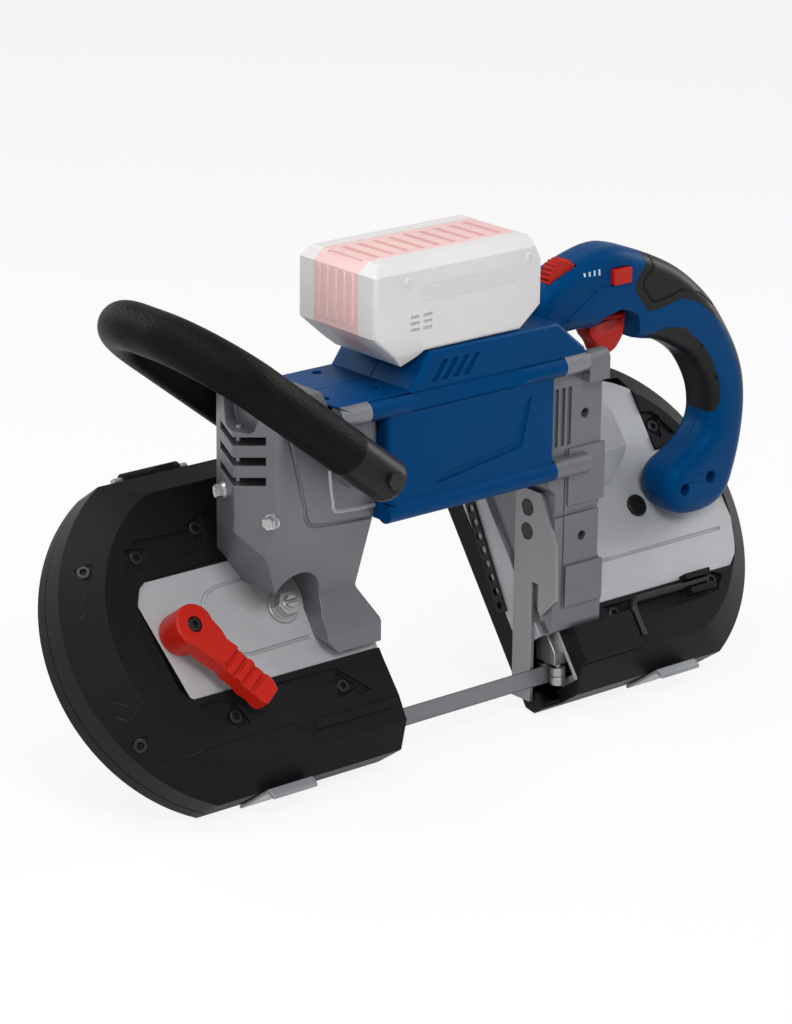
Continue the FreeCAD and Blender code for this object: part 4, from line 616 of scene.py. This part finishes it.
louvres = []
for x in LOUVRE_X:
    slanted = [(x, LOUVRE_LOW), (x + LOUVRE_WIDTH, LOUVRE_LOW),
               (x + LOUVRE_WIDTH + LOUVRE_SLANT, LOUVRE_HIGH), (x + LOUVRE_SLANT, LOUVRE_HIGH)]
    louvres.append(prism(slanted, FRONT, FRONT_FACE - VENT_DEPTH, FRONT_FACE + OUTSIDE))
crease = prism(PANEL, FRONT, FRONT_FACE - CREASE, FRONT_FACE + 1)
rail_gap = prism(RAIL_GAP, TOP, RAIL_GAP_LOW, RAIL_GAP_HIGH)
ear_hole = disc(74.5, 1.5, 3.4, TOP, DECK - 3, DECK + 25)
dress("motor_housing_front", cutters=[crease, rail_gap] + louvres + deck_holes(FRONT_HOLES) + [ear_hole])

# %% Rail sleeves, back half and screws
RAIL_Y, RAIL_HEIGHT, SLEEVE, SLEEVE_ENDS = -17.5, 219, 6.75, ((-116.2, -93.5), (63, 82.3))
SLOT_WIDTH, SLOT_LOW, SLOT_HIGH = 3.4, 172, 204
BACK_SCREWS = ((-45, 164), (62, 164), (62, 216), (-62, 216))
sleeves = [disc(RAIL_Y, RAIL_HEIGHT, SLEEVE, RIGHT, left, right, 40) for left, right in SLEEVE_ENDS]
add("rail_sleeves", sleeves, "frame", "casting", lug_finish, width=0.0006)
grille = [block(x, x + SLOT_WIDTH, SLOT_LOW, SLOT_HIGH, BACK, BACK_FACE - VENT_DEPTH, BACK_FACE + OUTSIDE,
                1.2) for x in range(-20, 52, 8)]
dress("motor_housing_back", cutters=grille + deck_holes(BACK_HOLES))
heads = [socket_head(2.6, 1.6, TOP @ Matrix.Translation((x, y, DECK - HOLE_DEPTH + 0.1)))
         for x, y in FRONT_HOLES + BACK_HOLES]
add("deck_screws", heads, "frame", "dark_fastener")
screws("housing_back_screws", "motor_housing_back", BACK, BACK_SCREWS, 3.4, 1.6)

# %% [markdown]
# ## The left casting
# The left column is one die casting: a prow with a dished top and three chevron vents, a socket that takes
# the motor housing, and a foot. A bright rim frames the socket, and two flanged bolts hold the prow. Plain
# prisms cut its leaning front and the arch over the tracking nut.

# %% Left column
DISH = [(-36, 232), (2, 232), (-5, 212), (-31, 212)]
SOCKET_LINE = [(-151, 222), (-146, 206), (-141, 186), (-136.5, 168), (-134, 159), (-130, 153.5), (-124, 151),
               (-116, 150), (-95, 148.5), (-80, 147.5)]
RIM_LINE = [(-117.5, 186), (-116, 172), (-114, 162), (-111, 158.5), (-106, 157.5), (-90, 156.5), (-80, 156)]
LEANING_FRONT = [(-25, 165), (-13, 165), (9.7, 97), (-25, 97)]
PROW_FRONT = [(-25, 97), (9.7, 97), (21.7, 61), (-25, 61)]
FOOT_FRONT = [(-25, 97), (9.7, 97), (-2, 76), (-2, 61), (-25, 61)]
PROW_END, FOOT_START, FOOT_END = -170, -113, -60
NUT_X, NUT_HEIGHT, ARCH, ARCH_BACK, ARCH_FRONT, ARCH_FOOT = -127, 101, 18, -47, 26, 60
arch = [disc(NUT_X, NUT_HEIGHT, ARCH, FRONT, ARCH_BACK, ARCH_FRONT, 40),
        block(NUT_X - ARCH, NUT_X + ARCH, ARCH_FOOT, NUT_HEIGHT, FRONT, ARCH_BACK, ARCH_FRONT)]
front_cuts = [prism(LEANING_FRONT, RIGHT, PROW_END, FOOT_END), prism(PROW_FRONT, RIGHT, PROW_END, FOOT_START),
              prism(FOOT_FRONT, RIGHT, FOOT_START, FOOT_END)]
# The column wears the casting grey darkened as painted shade.
dress("left_column", shaded_casting_finish, width=0.0004, seams=[(FRONT, SOCKET_LINE, 1.5)],
      cutters=[prism(DISH, LEFT, 153, 172, 4)] + front_cuts + arch)

# %% Rim, post, bolts and tracking nut
BOLT, BOLT_SPOTS = 5.4, ((-34.8, 170), (8, 161))
add("socket_rim", [bar("left_column", FRONT, RIM_LINE, 1.5, sink=0.35)], "frame", "casting")
add("vent_post", [disc(-158, 22.9, 1.5, TOP, 176, 213)], "frame", "casting")
bolts = [flange_head(BOLT, facing(*seat("left_column", LEFT, x, y))) for x, y in BOLT_SPOTS]
add("column_bolts", bolts, "frame", "steel", bright_finish)
driver_slot = block(-129.5, -118.5, 82, 83.5, WHEELS, 39, 43)
dress("tracking_nut", bright_finish, width=0.0004, cutters=[driver_slot])

# %% [markdown]
# ## The right casting
# The right column stands beside the work stop. Upright flutes, two stepped bands and a parting line are what
# the two halves of its mould leave.

# %% Right column
COLUMN_FACE, FLUTE_DEPTH, FLUTE_WIDTH, FLUTE_LOW, FLUTE_HIGH, FLUTE_X = 15, 2.4, 3.2, 165, 203, (61, 66.5, 72)
flutes = [block(x, x + FLUTE_WIDTH, FLUTE_LOW, FLUTE_HIGH, FRONT, COLUMN_FACE - FLUTE_DEPTH,
                COLUMN_FACE + OUTSIDE, 0.8) for x in FLUTE_X]
parting = block(70.4, 71.6, 56, 162, FRONT, COLUMN_FACE - 1.1, COLUMN_FACE + 1)
# These parts also wear the casting grey darkened as painted shade.
dress("right_column", shaded_casting_finish, width=0.0004, cutters=flutes + [parting])
bands = [block(73, 103.8, 124.5, 162.5, FRONT, COLUMN_FACE - 0.5, COLUMN_FACE + 1.7),
         block(72, 103.8, 57, 84.5, FRONT, COLUMN_FACE - 0.5, COLUMN_FACE + 2.2)]
add("column_bands", bands, "frame", "casting", shaded_casting_finish, width=0.0007)
dress("gear_housing", shaded_casting_finish, width=0.0012)

# %% [markdown]
# ## Wheel cases
# Each case is a silver plate with a thick rubber-edged bumper round it. Screws sit in triangular pockets,
# pairs of raised chevrons show which way the cases open, and a step in the plate frames the working parts.
# The opening of the left bumper is rounded by one cut and one filled corner.

# %% Plates
STEP_LINE = [(-136, 106.4), (-165.5, 105.4), (-173, 103), (-177.5, 98), (-180, 90), (-180, 76), (-176, 67),
             (-169.3, 62.2), (-157.7, 60), (-130, 60.4), (-112, 60.8)]
RIGHT_STEP = [(127, 57), (150, 57), (190, 57), (236, 57)]
for node, line in (("left_wheel_plate", STEP_LINE), ("right_wheel_plate", RIGHT_STEP)):
    dress(node, width=0.0004, cutters=[bar(node, WHEELS, line, 1.0)])

# %% Bumpers
LEFT_SCREWS, LEFT_TURNS = ((-211, 134.6), (-164, 143), (-184, 26), (-102, 26)), (0.4, 0.9, 3.5, 3.9)
RIGHT_SCREWS, RIGHT_TURNS = ((122, 22), (211, 25), (214, 135)), (2.6, 2.2, 0.7)
LEFT_BAND_SCREWS = ((-245, 135), (-248, 27))
PLATE_FACE, OPENING_TOP = 28, 45
ROUND_CORNER = [(-200.5, 119.8), (-211.7, 119.4), (-217.9, 115.3), (-222.6, 106.8)]
OPENING = [(-137, 122.5)] + ROUND_CORNER + [(-226.5, 91.7), (-226.3, 72.6), (-222.5, 55.8), (-216.9, 47.4),
                                            (-211.1, 43.7), (-202.2, 42.8), (-137, 42.5)]
POCKET_DEPTH, POCKET_SOFT = 1.1, 2.6


def pocket(node, x, y, turn, reach=10.5):
    """A triangular pocket with soft corners for a screw."""
    corners = []
    for angle in (turn, turn + math.tau / 3, turn + 2 * math.tau / 3):
        corners.append((reach * math.cos(angle), reach * math.sin(angle)))
    return prism(corners, facing(*seat(node, WHEELS, x, y)), -POCKET_DEPTH, 3, POCKET_SOFT)


left_pockets = [pocket("left_bumper", x, y, turn) for (x, y), turn in zip(LEFT_SCREWS, LEFT_TURNS)]
left_pockets += [pocket("left_bumper", x, y, 1.0, 7.5) for x, y in LEFT_BAND_SCREWS]
right_pockets = [pocket("right_bumper", x, y, turn) for (x, y), turn in zip(RIGHT_SCREWS, RIGHT_TURNS)]
opening = prism(OPENING, WHEELS, PLATE_FACE + 0.05, OPENING_TOP, 1.5)
dress("left_bumper", width=0.0005, cutters=left_pockets + [opening])
dress("right_bumper", width=0.0005, cutters=right_pockets)

# %% Bead, filled corner, screws and chevrons
BUMPER_FACE, CASE_SCREW, CASE_SCREW_HEIGHT, CASE_SCREW_SINK = 29.5, 4.2, 2.2, 1.2
BEAD_LINE = [(-240, 10.7), (-205, 12.5), (-148, 12.3), (-128, -3.7)]
CORNER = [(-227, 122.5), (-200.5, 122.5)] + ROUND_CORNER + [(-226.5, 92), (-229, 92)]
CHEVRONS, CHEVRON_REACH = ((-250, 121, 5), (-252, 113.5, 5), (-252, 42, -5), (-250, 49.5, -5)), 6
add("left_case_bead", [bar("left_bumper", WHEELS, BEAD_LINE, 0.8, sink=0.3)], "frame", "bumper")
corner = prism(CORNER, WHEELS, PLATE_FACE - 0.2, BUMPER_FACE - 0.05)
add("left_opening_corner", [corner], "frame", "bumper")
for side, spots in (("left", LEFT_SCREWS + LEFT_BAND_SCREWS), ("right", RIGHT_SCREWS)):
    screws(side + "_case_screws", side + "_bumper", WHEELS, spots, CASE_SCREW, CASE_SCREW_HEIGHT,
           CASE_SCREW_SINK)
chevrons = []
for x, y, tip in CHEVRONS:
    bent = [(x - CHEVRON_REACH, y - tip), (x, y), (x + CHEVRON_REACH, y - tip)]
    chevrons.append(bar("left_bumper", WHEELS, bent, 0.6, sink=0.3))
add("bumper_chevrons", chevrons, "frame", "bumper", finishes["dark_plastic"])
plug = socket_head(7.5, 1.2, facing(*seat("right_wheel_plate", WHEELS, 174, 86)))
add("plate_plug", [plug], "frame", "dark_plastic")

# %% [markdown]
# ## Rear covers
# The photo doesn't show the backs of the cases. A thin moulded cover of this size needs stiffening, so each
# gets a bead along its rim, a ring over the wheel's axle and short spokes between the two.

# %% Ribs on the rear covers
AXLE_X, AXLE_HEIGHT, RIM_BEAD, RING, RIB, BEAD_END = 155, 82.75, 88, 34, 1.1, 84


def round_axle(side, reach, degrees):
    """A spot on a cover's back, at a distance and an angle from its axle."""
    angle = math.radians(degrees)
    return side * (AXLE_X + reach * math.cos(angle)), AXLE_HEIGHT + reach * math.sin(angle)


for node, side in (("left_rear_cover", 1), ("right_rear_cover", -1)):
    rim = [round_axle(side, RIM_BEAD, degrees) for degrees in range(-90, 91, 6)]
    lines = [[(side * BEAD_END, rim[0][1])] + rim + [(side * BEAD_END, rim[-1][1])],
             [round_axle(side, RING, degrees) for degrees in range(0, 361, 10)]]
    for degrees in range(-80, 81, 20):
        lines.append([round_axle(side, RING + 8, degrees), round_axle(side, RIM_BEAD - 10, degrees)])
    ribs = [bar(node, WHEELS_BACK, line, RIB, 0.2, 12) for line in lines]
    add(node + "_ribs", ribs, body_of_node[node], slot_of_node[node])

# %% [markdown]
# ## Guard strip beside the stop
# Behind the work stop a black strip closes the right case. A row of round holes lets chips fall out.

# %% Guard strip
STRIP_LOW, STRIP_HIGH, STRIP_WIDTH, STRIP_X = Vector((27.5, 44)), Vector((66, 119)), 9.0, 62.9
CHIP_HOLE, FIRST_HOLE, HOLE_PITCH, HOLE_COUNT = 2.7, 5, 9.3, 9
along = (STRIP_HIGH - STRIP_LOW).normalized()
aside = Vector((along.y, -along.x))
corners = [STRIP_LOW, STRIP_LOW + aside * STRIP_WIDTH, STRIP_HIGH + aside * STRIP_WIDTH, STRIP_HIGH]
blank = prism([(-y, z) for y, z in corners], LEFT, -STRIP_X - 0.3, -STRIP_X + 0.9)
strip = add("guard_strip", [blank], "frame", "dark_plastic")
holes = []
for k in range(HOLE_COUNT):
    centre = STRIP_LOW + along * (FIRST_HOLE + HOLE_PITCH * k) + aside * STRIP_WIDTH * 0.5
    holes.append(disc(-centre.x, centre.y, CHIP_HOLE, LEFT, -STRIP_X - 3, -STRIP_X + 3, 20))
cut_out(strip, holes)
finish_edges(strip, 0)

# %% [markdown]
# ## Handles
# The rear handle is two blue mouldings with soft pads, carved from one rounded blank over the handle's
# outline. A seam is set into the outer pad, and a bare recess sits below the dial. The front handle is a
# rubber bail with a fine cell texture and two smooth end caps.

# %% The rear handle's blank
HANDLE_LINE = [(60, 230), (60, 252), (70, 264), (86, 270), (103, 276), (126, 281), (146, 275.7),
               (166.7, 267.2), (184, 258.6), (200, 247.2), (217, 232), (232, 211), (243.4, 192), (249.6, 173),
               (251, 152), (248.5, 130), (244, 113), (238, 96), (226, 87), (204, 85), (188, 90), (179, 105),
               (183, 121), (205.5, 131), (219.6, 145), (218.8, 163), (211.4, 179.5), (200, 194.5),
               (186.7, 203.4), (170, 211.5), (149, 215), (120, 228), (101, 230), (80, 229)]
HALF, ROUNDING, MIDDLE_Y = 17, 10.5, 18.5
ACROSS = FRONT @ Matrix.Translation((0, 0, -MIDDLE_Y))


def handle_blank():
    """The whole handle as one rounded form over its outline, as a modelmaker would carve it."""
    curve = bpy.data.curves.new("handle_line", "CURVE")
    curve.dimensions, curve.fill_mode = "2D", "BOTH"
    curve.extrude, curve.bevel_depth, curve.offset = HALF - ROUNDING, ROUNDING, -ROUNDING
    curve.bevel_resolution, curve.resolution_u = 5, 5
    spline = curve.splines.new("NURBS")
    spline.points.add(len(HANDLE_LINE) - 1)
    for point, (x, y) in zip(spline.points, HANDLE_LINE):
        point.co = (x, y, 0, 1)
    spline.use_cyclic_u = True
    spline.order_u = 3
    shape = from_curve(curve, 0.01)
    bmesh.ops.transform(shape, matrix=ACROSS, verts=shape.verts[:])
    return shape


def handle_part(name, node, finish, kept, cutters=(), seams=()):
    """A part of the blank that stands for a node: what the cutters leave inside the kept prism."""
    piece = bpy.data.objects.new(name, gathered(name, [handle_blank()]))
    scene.collection.objects.link(piece)
    cut_out(piece, [kept], "INTERSECT")
    if cutters:
        cut_out(piece, cutters)
    remember(node, piece.data)
    if seams:
        cut_out(piece, [bar(node, *seam) for seam in seams])
    finish_edges(piece, 0.0003)
    stand_in(piece, node, finish)


print("handle outline points", len(HANDLE_LINE))

# %% Halves and pads
OUTER_PAD = [(149, 292), (151, 273), (152.5, 267), (143, 254.6), (143.3, 249), (155, 233.5), (168.4, 234.7),
             (184, 238), (199, 233), (211, 224), (222, 213.6), (231, 202), (239, 184), (244, 163), (246, 140),
             (247, 128), (275, 128), (275, 292)]
INNER_PAD = [(150, 195), (158, 217.5), (173, 220.5), (188, 217.5), (205, 203.6), (215, 190), (221.6, 176),
             (224.5, 161), (222, 154), (214, 151.6), (195, 157.4)]
TRIGGER_NOTCH = [(110, 200), (111, 228), (117, 236), (132, 239.5), (146.5, 234), (150.5, 215), (150.5, 200)]
BARE_PLATE = [(73.2, 245), (102.4, 258.3), (111.1, 254.3), (79.8, 237.4)]
PAD_SEAM = [(158, 270), (159, 264), (150.5, 255), (150.5, 250.5), (159, 239.5), (168, 240), (184.5, 243.5),
            (202, 238), (215, 228)]
THROUGH, SPLIT, PAD_SOFT = 30, 0.05, 1.5
FOOT_HOLES = ((194, 106), (217, 110.5))
HANDLE_SCREWS = ((-84, 252), (-112, 262), (-196, 112), (-214, 118))


def pad_bed(outline):
    """The prism over a pad's outline, through the whole handle."""
    return prism(outline, ACROSS, -THROUGH, THROUGH, PAD_SOFT)


def handle_cuts():
    """The pads' beds, the trigger's notch and slot, the dial's slot and the lock's bore."""
    notch = prism(TRIGGER_NOTCH, ACROSS, -THROUGH, THROUGH, 3)
    dial_slot = disc(86, 265.5, 13.1, FRONT, -17.6, -7.4, 40)
    trigger_slot = block(111.5, 146.3, 200, 241.5, ACROSS, -8, 8)
    lock_bore = block(121.1, 136.9, 256.6, 267.4, ACROSS, -THROUGH, THROUGH)
    return [pad_bed(OUTER_PAD), pad_bed(INNER_PAD), notch, dial_slot, trigger_slot, lock_bore]


plate_cut = prism(BARE_PLATE, FRONT, -2.3, 4, 1)
foot_holes = [disc(x, z, 4, FRONT, -12, 3) for x, z in FOOT_HOLES]
handle_part("rear_handle_front_shell", "rear_handle_front", finishes["housing"],
            block(0, 300, 40, 300, ACROSS, SPLIT, THROUGH), handle_cuts() + [plate_cut] + foot_holes)
handle_part("rear_handle_back_shell", "rear_handle_back", finishes["housing"],
            block(0, 300, 40, 300, ACROSS, -THROUGH, -SPLIT), handle_cuts())
handle_part("rear_grip_pad_skin", "rear_grip_pad", smooth_grip, pad_bed(OUTER_PAD),
            seams=[(FRONT, PAD_SEAM, 0.7)])
handle_part("inner_grip_pad_skin", "inner_grip_pad", smooth_grip, pad_bed(INNER_PAD))
screws("handle_back_screws", "rear_handle_back", BACK, HANDLE_SCREWS, 3.2, 1.4)

# %% Dial scale
MARKS, MARK_HEIGHT, MARK_HALF = ((99, 2.4), (103, 2.9), (107, 3.4), (111, 3.9)), 267, 0.7
marks = []
for x, tall in MARKS:
    on_shell = facing(*seat("rear_handle_front", FRONT, x, MARK_HEIGHT))
    marks.append(block(-MARK_HALF, MARK_HALF, -tall / 2, tall / 2, on_shell, -0.6, 0.25))
add("dial_scale", marks, "frame", "housing", scale_finish)

# %% Front handle
dress("front_handle", width=0, flatten=False)
dress("front_handle_caps", smooth_grip, width=0, flatten=False)
dress("front_handle_bolts", width=0.0004)
print("pieces dressed", len(dressed))

# %% [markdown]
# ## Battery
# The pack is a pale shell with a ribbed pale red band and long bevels. Ribs on its end give the fingers hold
# beside the release, and fine lines and two bosses break up its side.

# %% Battery
BATTERY_FACE, BATTERY_END = 18, 88
VENT_X, VENT_LOW, VENT_WIDTH, VENT_HEIGHT = (-60, -50), (262, 266, 270), 7, 2
CORNERS = ([(-20, 297), (-20, 309), (-10, 309)], [(57, 297), (57, 309), (47, 309)],
           [(-20, 253), (-20, 237), (-10.5, 237)], [(57, 253), (57, 237), (47.5, 237)])
vents = [block(x, x + VENT_WIDTH, z, z + VENT_HEIGHT, FRONT, BATTERY_FACE - 1.6, BATTERY_FACE + OUTSIDE)
         for x in VENT_X for z in VENT_LOW]
dress("battery_case", width=0, cutters=vents + [prism(corner, RIGHT, -95, 52) for corner in CORNERS])
dress("battery_band", width=0.0005)
dress("battery_button", width=0.0005)

# %% Battery ribs, lines and bosses
RIB_Y, RIB_HALF, RIB_LOW, RIB_HIGH = (3, 10.7, 18.5, 26.3, 34), 1.1, 266, 298
LINE_LEFT, LINE_RIGHT, LINE_LOW, LINE_HEIGHT = -52, 24, (280, 283.2, 286.4, 289.6), 0.9
BOSS_X, BOSS_HEIGHT = (-62, 34), 293.2
ribs = [block(-y - RIB_HALF, -y + RIB_HALF, RIB_LOW, RIB_HIGH, LEFT, BATTERY_END - 1, BATTERY_END + 0.9, 0.7)
        for y in RIB_Y]
add("battery_end_ribs", ribs, "battery", "battery_accent", width=0.0004)
lines = [block(LINE_LEFT, LINE_RIGHT, z, z + LINE_HEIGHT, FRONT, BATTERY_FACE - 0.3, BATTERY_FACE + 0.45)
         for z in LINE_LOW]
bosses = [socket_head(3.2, 0.9, FRONT @ Matrix.Translation((x, BOSS_HEIGHT, BATTERY_FACE - 0.1)))
          for x in BOSS_X]
add("battery_side_lines", lines + bosses, "battery", "battery_shell")

# %% [markdown]
# ## Tension lever
# The red lever stands on the left plate. Its arm has grooves for the fingers, cut across it by prisms in a
# frame that is turned along the arm, and a cap screw holds its hub.

# %% Lever
LEVER_HUB, LEVER_TOP, LEVER_AIM, GROOVES = (-203.5, 82.5, 0), 50, math.radians(-57.5), (31, 38, 45, 52)
GROOVE_HALF, GROOVE_FLOOR, GROOVE_DEPTH, GROOVE_REACH = 2.3, 0.7, 1.9, 22
along_arm = Matrix.Rotation(LEVER_AIM, 4, "Z") @ Matrix.Rotation(math.pi / 2, 4, "X")
LEVER = WHEELS @ Matrix.Translation(LEVER_HUB) @ along_arm
grooves = []
for x in GROOVES:
    trough = [(x - GROOVE_HALF, LEVER_TOP + 0.6), (x - GROOVE_FLOOR, LEVER_TOP - GROOVE_DEPTH),
              (x + GROOVE_FLOOR, LEVER_TOP - GROOVE_DEPTH), (x + GROOVE_HALF, LEVER_TOP + 0.6)]
    grooves.append(prism(trough, LEVER, -GROOVE_REACH, GROOVE_REACH))
dress("tension_lever", width=0.0005, cutters=grooves)
hub_screw = socket_head(4.4, 2.8, facing(*seat("tension_lever", WHEELS, -203, 82.75)))
add("lever_screw", [hub_screw], "lever", "dark_fastener")

# %% [markdown]
# ## The rest
# The remaining solids are right as they are and only need their edges and finishes.

# %% Everything else
dress("trigger", width=0, flatten=False)
dress("stop_plate", stop_finish, width=0.0004)
rest = [node for node in sorted(frame["nodes"]) if node not in dressed]
for node in rest:
    dress(node)
print("dressed with plain edges", rest)
